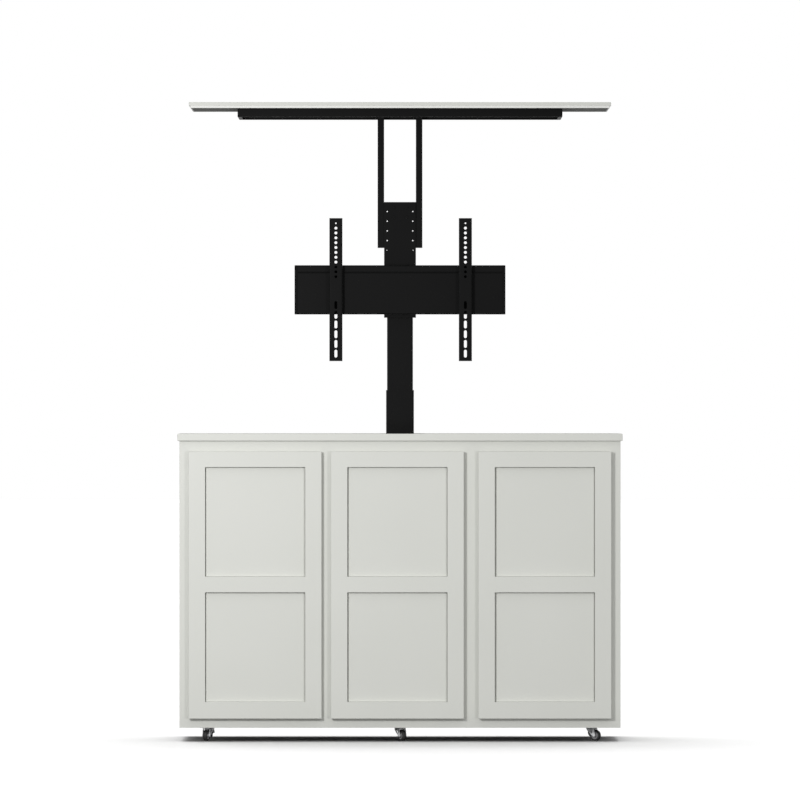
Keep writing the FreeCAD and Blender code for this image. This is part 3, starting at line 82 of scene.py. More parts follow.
def skin(grid, wrap=False):
    # Quads between neighbouring rows of a grid, closed round each row. The end rows are capped,
    # or joined by wrap.
    rows, columns = grid.shape[:2]
    index = np.arange(rows * columns).reshape(rows, columns)
    caps = [] if wrap else [index[0, ::-1], index[-1]]
    if wrap:
        index = np.vstack([index, index[:1]])
    right = np.roll(index, -1, axis=1)
    quads = np.stack([index[:-1], right[:-1], right[1:], index[1:]], -1).reshape(-1, 4)
    return turnedOut(grid.reshape(-1, 3), quads, caps)


def cornerOutline(halfU, halfV, radius, steps):
    # Rounded rectangle: a quarter circle about each corner's centre, one after another.
    quarter = np.linspace(0, np.pi / 2, steps + 1)
    turn = np.tile(quarter, 4) + np.repeat(np.arange(4), steps + 1) * np.pi / 2
    signU = np.repeat([1, -1, -1, 1], steps + 1)
    signV = np.repeat([1, 1, -1, -1], steps + 1)
    u = signU * (halfU - radius) + radius * np.cos(turn)
    v = signV * (halfV - radius) + radius * np.sin(turn)
    return u, v


def rings(low, high, profile, corner=1.0, across=2, steps=3):
    # A profile of (inset, height) pairs carried round a rounded rectangle: each row is the
    # rectangle between the two corners drawn in by its inset. Along the axis across it stands at
    # its height above the low corner, so the high corner's place on that axis isn't used.
    low, high = np.array(low, float), np.array(high, float)
    flat = [axis for axis in range(3) if axis != across]
    half, middle = (high - low) / 2, (high + low) / 2
    inset, height = np.array(profile, float).T[:, :, None]
    radius = np.maximum(corner - inset, meshValues["smallestCorner"])
    u, v = cornerOutline(half[flat[0]] - inset, half[flat[1]] - inset, radius, steps)
    grid = np.empty(u.shape + (3,))
    grid[..., flat[0]] = middle[flat[0]] + u
    grid[..., flat[1]] = middle[flat[1]] + v
    grid[..., across] = low[across] + height
    return grid


def easedEdge(thick, below, above, steps=3):
    # (inset, height) pairs up a board's edge: a quarter circle, a straight and a quarter circle.
    turn = np.linspace(0, np.pi / 2, steps + 1)
    foot = np.stack([below * (1 - np.sin(turn)), below * (1 - np.cos(turn))], -1)
    head = np.stack([above * (1 - np.cos(turn)), thick - above * (1 - np.sin(turn))], -1)
    return np.concatenate([foot, head])


def board(low, high, across, below, above, corner, steps=3):
    # A board with eased edges; below and above round its two faces across the given axis.
    profile = easedEdge(high[across] - low[across], below, above, steps)
    return skin(rings(low, high, profile, corner, across, steps))


def lathe(profile, centre, axis, count, wrap=False):
    # (radius, height) pairs turned about an axis: radius times the cosine and sine of the turn.
    radius, height = np.array(profile, float).T[:, :, None]
    turn = np.arange(count) * 2 * np.pi / count
    flat = [k for k in range(3) if k != axis]
    grid = np.empty((len(radius), count, 3))
    grid[..., flat[0]] = centre[flat[0]] + radius * np.cos(turn)
    grid[..., flat[1]] = centre[flat[1]] + radius * np.sin(turn)
    grid[..., axis] = centre[axis] + height
    return skin(grid, wrap)


def standing(surface, across, along, angle):
    # A surface turned about the upright axis and moved: x cos less y sin, x sin plus y cos.
    points, quads, caps = surface
    turn = math.radians(angle)
    x = points[:, 0] * math.cos(turn) - points[:, 1] * math.sin(turn) + across
    y = points[:, 0] * math.sin(turn) + points[:, 1] * math.cos(turn) + along
    return np.stack([x, y, points[:, 2]], -1), quads, caps


def fineCuts(edges, longest):
    # Cut lines at every edge, rounded so that equal ones merge, and each gap divided evenly into
    # pieces no longer than the longest.
    edges = np.unique(np.round(edges, 4))
    counts = np.maximum(np.ceil(np.diff(edges) / longest - 1e-6), 1).astype(int)
    runs = [np.linspace(a, b, n + 1)[:-1] for a, b, n in zip(edges, edges[1:], counts)]
    return np.append(np.concatenate(runs), edges[-1])


def closeCuts(edges, middles, half, count):
    # The given cut lines, and an even row of cut lines over the block about each middle.
    rows = [np.linspace(middle - half, middle + half, count) for middle in middles]
    return np.unique(np.round(np.concatenate([edges] + rows), 4))


def nearest(cuts, value):
    # The number of the cut line at the least distance from a value.
    return int(np.argmin(np.abs(cuts - value)))


def piercedSheet(cutsU, cutsV, thick, holes=(), windows=(), pockets=(), pocketDepth=0.0):
    # A flat sheet as unit quads between cut lines. Inside a hole's block the quads run from the
    # block's rim to the nearest points of the hole: its spine, a line or point, plus the radius
    # times the direction away from it. Windows leave their quads out, pockets sink theirs on the
    # far face, and walls stand on edges used once.
    gridU, gridV = np.meshgrid(cutsU, cutsV, indexing="ij")
    points = np.stack([gridU.ravel(), gridV.ravel()], -1)
    index = np.arange(len(points)).reshape(gridU.shape)
    front = np.ones((len(cutsU) - 1, len(cutsV) - 1), bool)
    floor = np.zeros_like(front)
    for area, boxes in ((front, windows), (floor, pockets)):
        for lowU, highU, lowV, highV in boxes:
            spanU = slice(nearest(cutsU, lowU), nearest(cutsU, highU))
            spanV = slice(nearest(cutsV, lowV), nearest(cutsV, highV))
            area[spanU, spanV] = area is floor
    quadsOfHoles = []
    for u, v, radius, spineU, spineV, blockU, blockV in holes:
        i0, i1 = nearest(cutsU, u - blockU), nearest(cutsU, u + blockU)
        j0, j1 = nearest(cutsV, v - blockV), nearest(cutsV, v + blockV)
        front[i0:i1, j0:j1] = False
        rim = np.concatenate([index[i0:i1, j0], index[i1, j0:j1],
                              index[i1:i0:-1, j1], index[i0, j1:j0:-1]])
        offset = points[rim] - (u, v)
        spine = np.clip(offset, (-spineU, -spineV), (spineU, spineV))
        away = (offset - spine) / np.linalg.norm(offset - spine, axis=1, keepdims=True)
        lip = len(points) + np.arange(len(rim))
        points = np.concatenate([points, (u, v) + spine + radius * away])
        quadsOfHoles.append(np.stack([rim, np.roll(rim, -1), np.roll(lip, -1), lip], -1))
    unit = np.stack([index[:-1, :-1], index[1:, :-1], index[1:, 1:], index[:-1, 1:]], -1)
    count = len(points)
    face = np.concatenate([unit[front]] + quadsOfHoles)
    back = np.concatenate([unit[front & ~floor]] + quadsOfHoles)
    sunk = unit[front & floor]
    # Layers of points: the near face, the far face and the pockets' floors, count points each.
    quads = [face, back[:, ::-1] + count, sunk[:, ::-1] + 2 * count]
    for kept, near, far, flip in ((face, 0, count, False), (sunk, count, 2 * count, True)):
        if len(kept):
            edges = np.stack([kept.ravel(), np.roll(kept, -1, axis=1).ravel()], -1)
            ranked = np.sort(edges, axis=1)
            _, which, uses = np.unique(ranked[:, 0] * count + ranked[:, 1],
                                       return_inverse=True, return_counts=True)
            begin, end = edges[uses[which.ravel()] == 1].T
            wall = np.stack([end + near, begin + near, begin + far, end + far], -1)
            quads.append(wall[:, ::-1] if flip else wall)
    quads = np.concatenate(quads)
    offset = np.repeat([thick / 2, -thick / 2, pocketDepth - thick / 2], count)
    used, packed = np.unique(quads, return_inverse=True)
    return np.tile(points, (3, 1))[used], offset[used], packed.reshape(quads.shape)


def bentPath(runs, radius, start, heading):
    # Straight runs joined by bends, as (length, turn in degrees) pairs. The heading grows evenly
    # along each bend, and the place is the running sum of its cosine and sine; an offset goes to
    # the left of the heading.
    knots, headings, cuts = [0.0], [math.radians(heading)], [0.0]
    for length, turn in runs:
        knots.append(knots[-1] + length)
        headings.append(headings[-1])
        cuts.append(knots[-1])
        if turn:
            arc = abs(math.radians(turn)) * radius
            steps = max(2, round(abs(turn) / meshValues["bendStep"]))
            cuts += list(knots[-1] + arc * np.arange(1, steps + 1) / steps)
            knots.append(knots[-1] + arc)
            headings.append(headings[-1] + math.radians(turn))
    fine = np.linspace(0, knots[-1], meshValues["pathSamples"])
    angle = np.interp(fine, knots, headings)
    halfway = angle[:-1] / 2 + angle[1:] / 2
    lineA = start[0] + np.append(0, np.cumsum(np.cos(halfway))) * fine[1]
    lineB = start[1] + np.append(0, np.cumsum(np.sin(halfway))) * fine[1]

    def place(along, left):
        turned = np.interp(along, knots, headings)
        a, b = np.interp(along, fine, lineA), np.interp(along, fine, lineB)
        return a - left * np.sin(turned), b + left * np.cos(turned)

    return cuts, place


def sheetSkin(quads, *coordinates):
    # A sheet's quads on points whose x, y and z are the three rows of coordinates.
    return turnedOut(np.stack(coordinates, -1), quads)


def addPiece(name, mesh, bevel):
    # Puts a mesh into the scene, with its sharp edges eased and its shading even over the flats.
    piece = bpy.data.objects.new(name, mesh)
    bpy.context.scene.collection.objects.link(piece)
    if bevel:
        ease = piece.modifiers.new("EasedEdges", "BEVEL")
        ease.width, ease.segments = bevel * mm, meshValues["bevelSegments"]
        ease.limit_method, ease.angle_limit = "ANGLE", math.radians(meshValues["sharpAngle"])
    level = piece.modifiers.new("EvenShading", "WEIGHTED_NORMAL")
    level.keep_sharp = True
    return piece


def makePiece(name, parts, body, nodes, bevel=0.0, crease=35):
    # Joins the surfaces of each finish into one mesh. A bevel eases every sharp edge; without
    # one the edges past the crease angle stay sharp.
    points, faces, kinds, start = [], [], [], 0
    for kind, surfaces in enumerate(parts.values()):
        for corners, quads, caps in surfaces:
            points.append(corners)
            faces += (quads + start).tolist() + [(cap + start).tolist() for cap in caps]
            kinds += [kind] * (len(quads) + len(caps))
            start += len(corners)
    mesh = bpy.data.meshes.new(name)
    mesh.from_pydata(np.concatenate(points) * mm, [], faces)
    for finish in parts:
        mesh.materials.append(finish.material)
    mesh.polygons.foreach_set("material_index", kinds)
    mesh.shade_smooth()
    if not bevel:
        mesh.set_sharp_from_angle(angle=math.radians(crease))
    piece = addPiece(name, mesh, bevel)
    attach(piece, body)
    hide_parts(*nodes)


# Shader maths: sums, differences and products of wires add Math nodes.

class Wire:
    def __init__(self, finish, socket):
        self.finish = finish
        self.socket = socket

    def math(self, operation, first, second):
        return self.finish.node("ShaderNodeMath", {"operation": operation}, {0: first, 1: second})

    def __add__(self, other):
        return self.math("ADD", self, other)

    def __radd__(self, other):
        return self.math("ADD", other, self)

    def __sub__(self, other):
        return self.math("SUBTRACT", self, other)

    def __rsub__(self, other):
        return self.math("SUBTRACT", other, self)

    def __mul__(self, other):
        return self.math("MULTIPLY", self, other)

    def __rmul__(self, other):
        return self.math("MULTIPLY", other, self)


class Finish:
    # One material. node() adds any node: first its settings, then the values or wires of its
    # sockets.
    def __init__(self, name, tree=None):
        self.material = None if tree else bpy.data.materials.new(name)
        if self.material:
            self.material.use_nodes = True
        self.tree = tree or self.material.node_tree
        self.tree.nodes.clear()

    def node(self, kind, settings, sockets, output=0):
        made = self.tree.nodes.new(kind)
        for key, value in settings.items():
            setattr(made, key, value)
        for key, value in sockets.items():
            if isinstance(value, Wire):
                self.tree.links.new(value.socket, made.inputs[key])
            else:
                made.inputs[key].default_value = value
        return Wire(self, made.outputs[output])

    def place(self, scale=(1, 1, 1)):
        # Object coordinates, stretched where the three scales differ.
        spot = self.node("ShaderNodeTexCoord", {}, {}, "Object")
        return self.node("ShaderNodeMapping", {}, {"Vector": spot, "Scale": scale})

    def noise(self, spot, scale, detail=2.0, roughness=0.5):
        sockets = {"Vector": spot, "Scale": scale, "Detail": detail, "Roughness": roughness}
        return self.node("ShaderNodeTexNoise", {}, sockets)

    def ramp(self, factor, low, high):
        # Zero below low, one above high, straight between.
        sockets = {"Value": factor, "From Min": low, "From Max": high}
        return self.node("ShaderNodeMapRange", {}, sockets)

    def tint(self, factor, first, second):
        # From the first colour at factor 0 to the second at 1; sockets 6 and 7 are the colours.
        sockets = {0: factor, 6: (*first, 1), 7: (*second, 1)}
        return self.node("ShaderNodeMix", {"data_type": "RGBA"}, sockets, 2)

    def close(self, height=None, depth=0.0005, strength=0.5, **sockets):
        # The Principled shader; a height goes through a Bump node into its Normal.
        values = {key.replace("_", " "): value for key, value in sockets.items()}
        if height is not None:
            bump = {"Height": height, "Distance": depth, "Strength": strength}
            values["Normal"] = self.node("ShaderNodeBump", {}, bump)
        shader = self.node("ShaderNodeBsdfPrincipled", {}, values)
        return self.output("ShaderNodeOutputMaterial", shader)

    def output(self, kind, shader):
        end = self.tree.nodes.new(kind)
        self.tree.links.new(shader.socket, end.inputs["Surface"])
        return self


def paintFinish(name, dark, light, roughness, gloss=0.5, stippleDepth=0.00003):
    # Sprayed satin paint: slow drift of shade, roller stipple about a millimetre across, and a
    # little unevenness.
    paint = Finish(name)
    spot = paint.place()
    drift = paint.ramp(paint.noise(spot, scale=4.0, detail=1.0), low=0.3, high=0.7)
    stipple = paint.noise(spot, scale=700.0, roughness=0.6)
    swell = paint.noise(spot, scale=34.0)
    return paint.close(height=stipple + swell * 2.5, depth=stippleDepth, strength=0.6,
                       Base_Color=paint.tint(drift, dark, light), Specular_IOR_Level=gloss,
                       Roughness=roughness + (drift - 0.5) * 0.05 + (stipple - 0.5) * 0.06)


def boardFinish(name, dark, light, roughness):
    # Laminated board: fine flecks and a faint grain running up the board.
    melamine = Finish(name)
    upright = melamine.place((1, 1, 0.05))
    grain = melamine.noise(upright, scale=420.0, detail=3.0, roughness=0.6)
    fleck = melamine.ramp(melamine.noise(melamine.place(), scale=900.0), low=0.35, high=0.65)
    colour = melamine.tint(grain * 0.6 + fleck * 0.4, dark, light)
    return melamine.close(height=grain, depth=0.00003, strength=0.5, Base_Color=colour,
                          Roughness=roughness + (grain - 0.5) * 0.1)


def coatFinish(name, dark, light, roughness, grainSize=1500.0):
    # Powder coat: a close bumpy skin, with slow patches of slightly different shade and gloss.
    coat = Finish(name)
    spot = coat.place()
    grain = coat.noise(spot, grainSize, roughness=0.55)
    patch = coat.ramp(coat.noise(spot, scale=11.0, detail=3.0), low=0.3, high=0.7)
    colour = coat.tint(patch * 0.6 + grain * 0.4, dark, light)
    return coat.close(height=grain, depth=0.00004, strength=0.5, Base_Color=colour,
                      Specular_IOR_Level=0.07, Sheen_Weight=0.06, Sheen_Roughness=0.4,
                      Roughness=roughness + (patch - 0.5) * 0.08 + (grain - 0.5) * 0.12)


def metalFinish(name, dark, light, roughness, brush=(1, 1, 1), scale=260.0, shine=1.0):
    # Bare or plated metal: streaks along the brushing, and a cloudy bloom that dulls the plating
    # as shine falls.
    metal = Finish(name)
    streak = metal.noise(metal.place(brush), scale, detail=3.0, roughness=0.6)
    bloom = metal.ramp(metal.noise(metal.place(), scale=90.0, detail=3.0), low=0.35, high=0.65)
    colour = metal.tint(streak * 0.5 + bloom * 0.5, dark, light)
    return metal.close(height=streak, depth=0.00002, strength=0.4, Base_Color=colour,
                       Metallic=shine,
                       Roughness=roughness + (bloom - 0.5) * 0.12 + (streak - 0.5) * 0.1)


def plasticFinish(name, dark, light, roughness, grainSize=1300.0, depth=0.00004):
    # Moulded plastic: spark-eroded grain and a faint flow mark.
    plastic = Finish(name)
    grain = plastic.noise(plastic.place(), grainSize)
    flow = plastic.ramp(plastic.noise(plastic.place((1, 1, 0.3)), scale=26.0), low=0.3, high=0.7)
    colour = plastic.tint(flow * 0.7 + grain * 0.3, dark, light)
    return plastic.close(height=grain, depth=depth, strength=0.5, Base_Color=colour,
                         Roughness=roughness + (grain - 0.5) * 0.14 + (flow - 0.5) * 0.06)


# Finishes: the darkest and the palest colour, then the roughness.

cabinetPaint = paintFinish("cabinetPaint", (0.647, 0.655, 0.614), (0.658, 0.665, 0.625), 0.42)
# The lid's lipping: a paler grey than the cabinet's paint, which makes the lower strip of the lid's
# front edge brighter.
lidLippingPale = paintFinish("lidLippingPale", (0.83, 0.832, 0.803), (0.86, 0.862, 0.833), 0.5)
# The lid's underside: a dark grey that is painted shade, standing in for the shade under the lid.
lidUndersidePaintedShade = paintFinish("lidUndersidePaintedShade", (0.21, 0.212, 0.203), (0.23, 0.232, 0.222), 0.7,
                           gloss=0.1)
insideBoard = boardFinish("insideBoard", (0.64, 0.64, 0.61), (0.70, 0.70, 0.675), 0.5)
blackSteel = coatFinish("blackSteel", (0.0031, 0.0031, 0.0032), (0.0049, 0.0049, 0.0050), 0.5)
columnBlack = coatFinish("columnBlack", (0.0034, 0.0034, 0.0035), (0.0050, 0.0050, 0.0051), 0.46,
                         grainSize=1900.0)
motorBlack = coatFinish("motorBlack", (0.014, 0.014, 0.015), (0.022, 0.022, 0.023), 0.42,
                        grainSize=900.0)
endCapBlack = coatFinish("endCapBlack", (0.0028, 0.0028, 0.0029), (0.0042, 0.0042, 0.0043), 0.6)
zincPlate = metalFinish("zincPlate", (0.80, 0.81, 0.82), (0.94, 0.95, 0.96), 0.38, shine=0.2)
hingeNickel = metalFinish("hingeNickel", (0.56, 0.53, 0.49), (0.70, 0.67, 0.63), 0.27)
brightSteel = metalFinish("brightSteel", (0.48, 0.48, 0.48), (0.64, 0.64, 0.63), 0.3,
                          brush=(1, 1, 6), scale=300.0)
nutMetal = metalFinish("nutMetal", (0.52, 0.53, 0.54), (0.66, 0.67, 0.68), 0.4)
blackPlastic = plasticFinish("blackPlastic", (0.012, 0.012, 0.012), (0.019, 0.019, 0.019), 0.48)
greyPlastic = plasticFinish("greyPlastic", (0.30, 0.31, 0.31), (0.36, 0.37, 0.37), 0.45)
glidePlastic = plasticFinish("glidePlastic", (0.72, 0.71, 0.67), (0.80, 0.79, 0.75), 0.4)
tyreRubber = plasticFinish("tyreRubber", (0.016, 0.016, 0.016), (0.028, 0.028, 0.027), 0.62,
                           grainSize=1000.0, depth=0.00007)
wheelRim = plasticFinish("wheelRim", (0.24, 0.24, 0.245), (0.32, 0.32, 0.325), 0.4)
bumperClear = plasticFinish("bumperClear", (0.62, 0.63, 0.62), (0.72, 0.73, 0.72), 0.2)
finishOfSlot = {
    "cabinet_paint": cabinetPaint, "inside_board": insideBoard, "lid_primer": lidLippingPale,
    "black_steel": blackSteel, "zinc": zincPlate, "hinge_nickel": hingeNickel,
    "screw_steel": brightSteel, "nut_metal": nutMetal, "motor_black": motorBlack,
    "glide_plastic": glidePlastic, "black_plastic": blackPlastic, "grey_plastic": greyPlastic,
    "castor_tyre": tyreRubber, "bumper_clear": bumperClear,
}
print("finishes mixed:", len(finishOfSlot))

# Cabinet body: the top round the lid's opening, the face frame and the two sides.

topValues = {
    "outerLow": (-681, -201), "outerHigh": (681, 211), "outerCorner": 2.0,
    "innerLow": (-650, -165), "innerHigh": (650, 182), "innerCorner": 1.0,
    "foot": 920, "thick": 22, "lowerRound": 2, "upperRound": 1.2, "rimRound": 1.0,
}


def makeTop(v):
    # The outer edge's profile, then the opening's edge profile from the top down, joined across
    # both faces.
    foot, head = v["foot"], v["foot"] + v["thick"]
    outer = easedEdge(v["thick"], v["lowerRound"], v["upperRound"], steps=5)
    inner = easedEdge(v["thick"], v["rimRound"], v["rimRound"], steps=3)[::-1] * (-1, 1)
    outside = rings((*v["outerLow"], foot), (*v["outerHigh"], head), outer, v["outerCorner"],
                    steps=4)
    inside = rings((*v["innerLow"], foot), (*v["innerHigh"], head), inner, v["innerCorner"],
                   steps=4)
    surface = skin(np.concatenate([outside, inside]), wrap=True)
    makePiece("topBoard", {cabinetPaint: [surface]}, "cabinet", ["top_frame"])


makeTop(topValues)

frameValues = {
    "side": 675, "foot": 42, "head": 920, "face": -189, "thick": 20, "lowRail": 91,
    "highRail": 867, "ways": ((-626, -260), (-191, 175), (260, 626)), "ease": 0.5,
}


def makeFaceFrame(v):
    # One flat sheet in x and z with a window for each door way.
    windows = [(a, b, v["lowRail"], v["highRail"]) for a, b in v["ways"]]
    cutsU = np.array([-v["side"]] + [x for way in v["ways"] for x in way] + [v["side"]], float)
    cutsV = np.array([v["foot"], v["lowRail"], v["highRail"], v["head"]], float)
    flat, offset, quads = piercedSheet(cutsU, cutsV, v["thick"], windows=windows)
    surface = sheetSkin(quads, flat[:, 0], v["face"] + v["thick"] / 2 - offset, flat[:, 1])
    makePiece("faceFrame", {cabinetPaint: [surface]}, "cabinet", ["face_frame"],
              bevel=v["ease"])


makeFaceFrame(frameValues)

sideValues = {"outside": 675, "inside": 657, "front": -169, "back": 211, "foot": 42, "head": 920,
              "ease": 0.5}


def makeSide(name, side, v):
    # A board on its edge; side is -1 at the left and 1 at the right.
    low, high = sorted((side * v["outside"], side * v["inside"]))
    panel = board((low, v["front"], v["foot"]), (high, v["back"], v["head"]), across=0,
                  below=v["ease"], above=v["ease"], corner=v["ease"])
    makePiece(f"sidePanel_{name}", {cabinetPaint: [panel]}, "cabinet", [f"side_panel_{name}"])


makeSide("left", -1, sideValues)
makeSide("right", 1, sideValues)
print("cabinet body made")

# Doors: the two edges of each, and 1 for hinges at the left or -1 at the right.

doorValues = {
    "left": (-646, -240, 1), "middle": (-211, 195, -1), "right": (240, 646, -1),
    "front": -211, "rear": -191, "stile": 50, "rails": ((71, 122), (457, 505), (840, 887)),
    "ease": 0.5,
    "panelFront": -199, "panelThick": 6, "panelCorner": 0.2, "fieldEase": 0.3, "rearEase": 0.2,
    "tongue": 5.5, "grooveDeep": 4.6, "gaps": (2.6, 1.6, 0.4, 2.2),  # left, right, foot, head
    "cupSize": 36, "cupInset": 2, "cupHeights": (171, 787), "cupDepth": 14.2, "cupPlay": 0.2,
}


def makeDoor(name, v):
    # Frame: one sheet with two windows, and a pocket on its rear face for each hinge cup.
    near, far, side = v[name]
    rails, play, half = v["rails"], v["cupPlay"], v["cupSize"] / 2
    openings = [(near + v["stile"], far - v["stile"], lower[1], upper[0])
                for lower, upper in zip(rails, rails[1:])]
    edge = near if side > 0 else far
    cup = sorted(edge + side * inset for inset in (v["cupInset"], v["cupInset"] + v["cupSize"]))
    pockets = [(cup[0] - play, cup[1] + play, z - half - play, z + half + play)
               for z in v["cupHeights"]]
    cutsU = np.unique([near, far, near + v["stile"], far - v["stile"], *pockets[0][:2]])
    cutsV = np.unique([z for rail in rails for z in rail] + [z for p in pockets for z in p[2:]])
    flat, offset, quads = piercedSheet(cutsU, cutsV, v["rear"] - v["front"], windows=openings,
                                       pockets=pockets, pocketDepth=v["cupDepth"])
    surface = sheetSkin(quads, flat[:, 0], (v["front"] + v["rear"]) / 2 - offset, flat[:, 1])
    makePiece(f"doorFrame_{name}", {cabinetPaint: [surface]}, f"door_{name}",
              [f"door_{name}_frame"], bevel=v["ease"])
    # Panels: a flat field, then a step down to the tongue that runs into the frame. A loose
    # panel stands on its foot, so the thin gap round the field is widest at the left and head.
    tongue, deep, thick = v["tongue"], v["grooveDeep"], v["panelThick"]
    fieldEase, rearEase = v["fieldEase"], v["rearEase"]
    profile = [(tongue + fieldEase, 0), (tongue, fieldEase), (tongue, deep), (0, deep),
               (0, thick - rearEase), (rearEase, thick)]
    left, right, foot, head = np.array(v["gaps"]) - tongue
    front, rear = v["panelFront"], v["panelFront"] + thick
    panels = [skin(rings((a + left, front, c + foot), (b - right, rear, d - head), profile,
                         v["panelCorner"], across=1)) for a, b, c, d in openings]
    makePiece(f"doorPanels_{name}", {cabinetPaint: panels}, f"door_{name}",
              [f"door_{name}_panels"])


for name in ("left", "middle", "right"):
    makeDoor(name, doorValues)
print("doors made")

# Lid, and the tray and bracket that carry it.

lidValues = {
    "low": (-647, -162), "high": (647, 179), "foot": 1947.5, "head": 1958, "lowerRound": 0.4,
    "upperRound": 1.5, "corner": 1.5,
    "underFoot": 1940, "underInset": 3.8, "underLean": 0.8, "underRound": 1.2,
    "underCorner": 2.0, "lipping": 9, "fieldSink": 0.1, "fieldEase": 0.25,
}


def makeLid(v):
    # The lid itself: a board whose upper edge is rounder than its lower one.
    foot, head, underFoot = v["foot"], v["head"], v["underFoot"]
    edge = easedEdge(head - foot, v["lowerRound"], v["upperRound"], steps=5)
    panel = rings((*v["low"], foot), (*v["high"], head), edge, v["corner"])
    makePiece("lidPanel", {cabinetPaint: [skin(panel)]}, "stage_4", ["lid_panel"])
    # The board under it: a lipping all round, paler than the cabinet's paint, its face leaning in a
    # little, and the underside inside it, whose dark grey is painted shade for the shade under the
    # lid.
    near, curve, tall, wide = v["underInset"], v["underRound"], foot - underFoot, v["lipping"]
    turn = np.linspace(0, np.pi / 2, 5)
    inset = near + v["underLean"] + curve * (1 - np.sin(turn))
    face = np.stack([inset, curve * (1 - np.cos(turn))], -1).tolist()
    lippingEdge = [(wide, tall), (wide, 0)] + face + [(near, tall)]
    sink, ease = v["fieldSink"], v["fieldEase"]
    fieldEdge = [(wide + sink, sink), (wide, ease), (wide, tall)]
    corners = (*v["low"], underFoot), (*v["high"], foot)
    lipping = rings(*corners, lippingEdge, near + v["underCorner"])
    field = rings(*corners, fieldEdge, near + v["underCorner"])
    makePiece("lidUnderBoard", {lidLippingPale: [skin(lipping, wrap=True)], lidUndersidePaintedShade: [skin(field)]},
              "stage_4", ["lid_under_board"])


makeLid(lidValues)

trayValues = {
    "low": (-498.5, -126.5), "high": (498.5, 143.5), "foot": 1914, "tall": 26, "sheet": 2,
    "lip": 12, "lipBulge": 0.25, "lipEase": 0.3, "bend": 1.6, "insideBend": 0.5, "corner": 3.0,
}


def makeTray(v):
    # A folded sheet: from under the plate down inside the wall, round the lip, and up outside to
    # the plate's top.
    sheet, lip, ease, tall = v["sheet"], v["lip"], v["lipEase"], v["tall"]
    outside = easedEdge(tall, v["bend"], v["bend"], steps=5)
    inside = easedEdge(tall - 2 * sheet, v["insideBend"], v["insideBend"], steps=2)
    inside = (inside + (sheet, sheet))[::-1]
    bulge = lip + v["lipBulge"]
    lipEdge = [(lip, sheet), (bulge, sheet - ease), (bulge, ease), (lip, 0)]
    profile = np.concatenate([inside, lipEdge, outside])
    grid = rings((*v["low"], v["foot"]), (*v["high"], v["foot"] + tall), profile, v["corner"],
                 steps=4)
    makePiece("lidTray", {blackSteel: [skin(grid)]}, "stage_4", ["lid_tray"])


makeTray(trayValues)

bracketValues = {
    "half": 69.2, "foot": 1516, "top": 1938, "plateY": 100, "sheet": 4, "reach": 60, "bend": 5.0,
    "window": (-49.2, 49.2, 1658, 1930), "longest": 40, "ease": 0.45,
    "holeX": 39.5, "holeHeights": (1538.8, 1568.8, 1598.8, 1628.8), "holeRadius": 2.0,
    "block": 6, "blockCuts": 7,
}


def boltPairs(heights, v):
    # Two round holes at each height, each with its radius, no spine and the block round it.
    return [(x, z, v["holeRadius"], 0, 0, v["block"], v["block"])
            for z in heights for x in (-v["holeX"], v["holeX"])]


def makeBracket(v):
    # Path in y and z: straight up the plate, a bend forwards, then the flange under the tray; x
    # is the other way.
    radius = v["bend"] - v["sheet"] / 2
    upright = v["top"] - v["foot"] - v["bend"]
    flange = v["plateY"] + v["sheet"] / 2 - v["reach"] - v["bend"]
    cuts, place = bentPath([(upright, 90), (flange, 0)], radius, (v["plateY"], v["foot"]), 90)
    heights = [z - v["foot"] for z in v["holeHeights"]]
    blocks = [z + s * v["block"] for z in heights for s in (-1, 1)]
    left, right, low, high = v["window"]
    low, high = low - v["foot"], high - v["foot"]
    cutsU = closeCuts([-v["half"], v["half"], left, right, 0], (-v["holeX"], v["holeX"]),
                      v["block"], v["blockCuts"])
    cutsV = closeCuts(fineCuts(cuts + blocks + [low, high], v["longest"]), heights, v["block"],
                      v["blockCuts"])
    flat, offset, quads = piercedSheet(cutsU, cutsV, v["sheet"], boltPairs(heights, v),
                                       [(left, right, low, high)])
    y, z = place(flat[:, 1], offset)
    makePiece("lidBracket", {blackSteel: [sheetSkin(quads, flat[:, 0], y, z)]}, "stage_4",
              ["lid_bracket"], bevel=v["ease"])


makeBracket(bracketValues)

headValues = {
    "half": 49.2, "foot": 1300, "top": 1658, "middleY": 96, "sheet": 4, "ease": 0.5,
    "holeX": 39.5, "holeHeights": (1508.8, 1538.8, 1568.8, 1598.8, 1628.8), "holeRadius": 2.0,
    "block": 6, "blockCuts": 7,
}


def makeHeadPlate(v):
    # A flat sheet in x and z with a pair of bolt holes at each height.
    cutsU = closeCuts([-v["half"], v["half"], 0], (-v["holeX"], v["holeX"]), v["block"],
                      v["blockCuts"])
    cutsV = closeCuts([v["foot"], v["top"]], v["holeHeights"], v["block"], v["blockCuts"])
    flat, offset, quads = piercedSheet(cutsU, cutsV, v["sheet"], boltPairs(v["holeHeights"], v))
    surface = sheetSkin(quads, flat[:, 0], v["middleY"] - offset, flat[:, 1])
    makePiece("headPlate", {blackSteel: [surface]}, "stage_4", ["head_plate"],
              bevel=v["ease"])


makeHeadPlate(headValues)

# Television bracket: the cross plate with its end caps, and the two rails.

crossValues = {
    "half": 316, "foot": 1310, "top": 1462, "front": 64, "back": 94, "sheet": 3, "lip": 20,
    "bend": 4.0, "creaseDrop": 22.5, "creaseTurn": 33, "creaseBack": 1.9, "creaseOut": 0.15,
    "columns": 17, "longest": 60,
    "endWidth": 10, "endSet": 0.5, "endInner": 0.3, "endOuter": 2.0, "endCorner": 2.5,
}


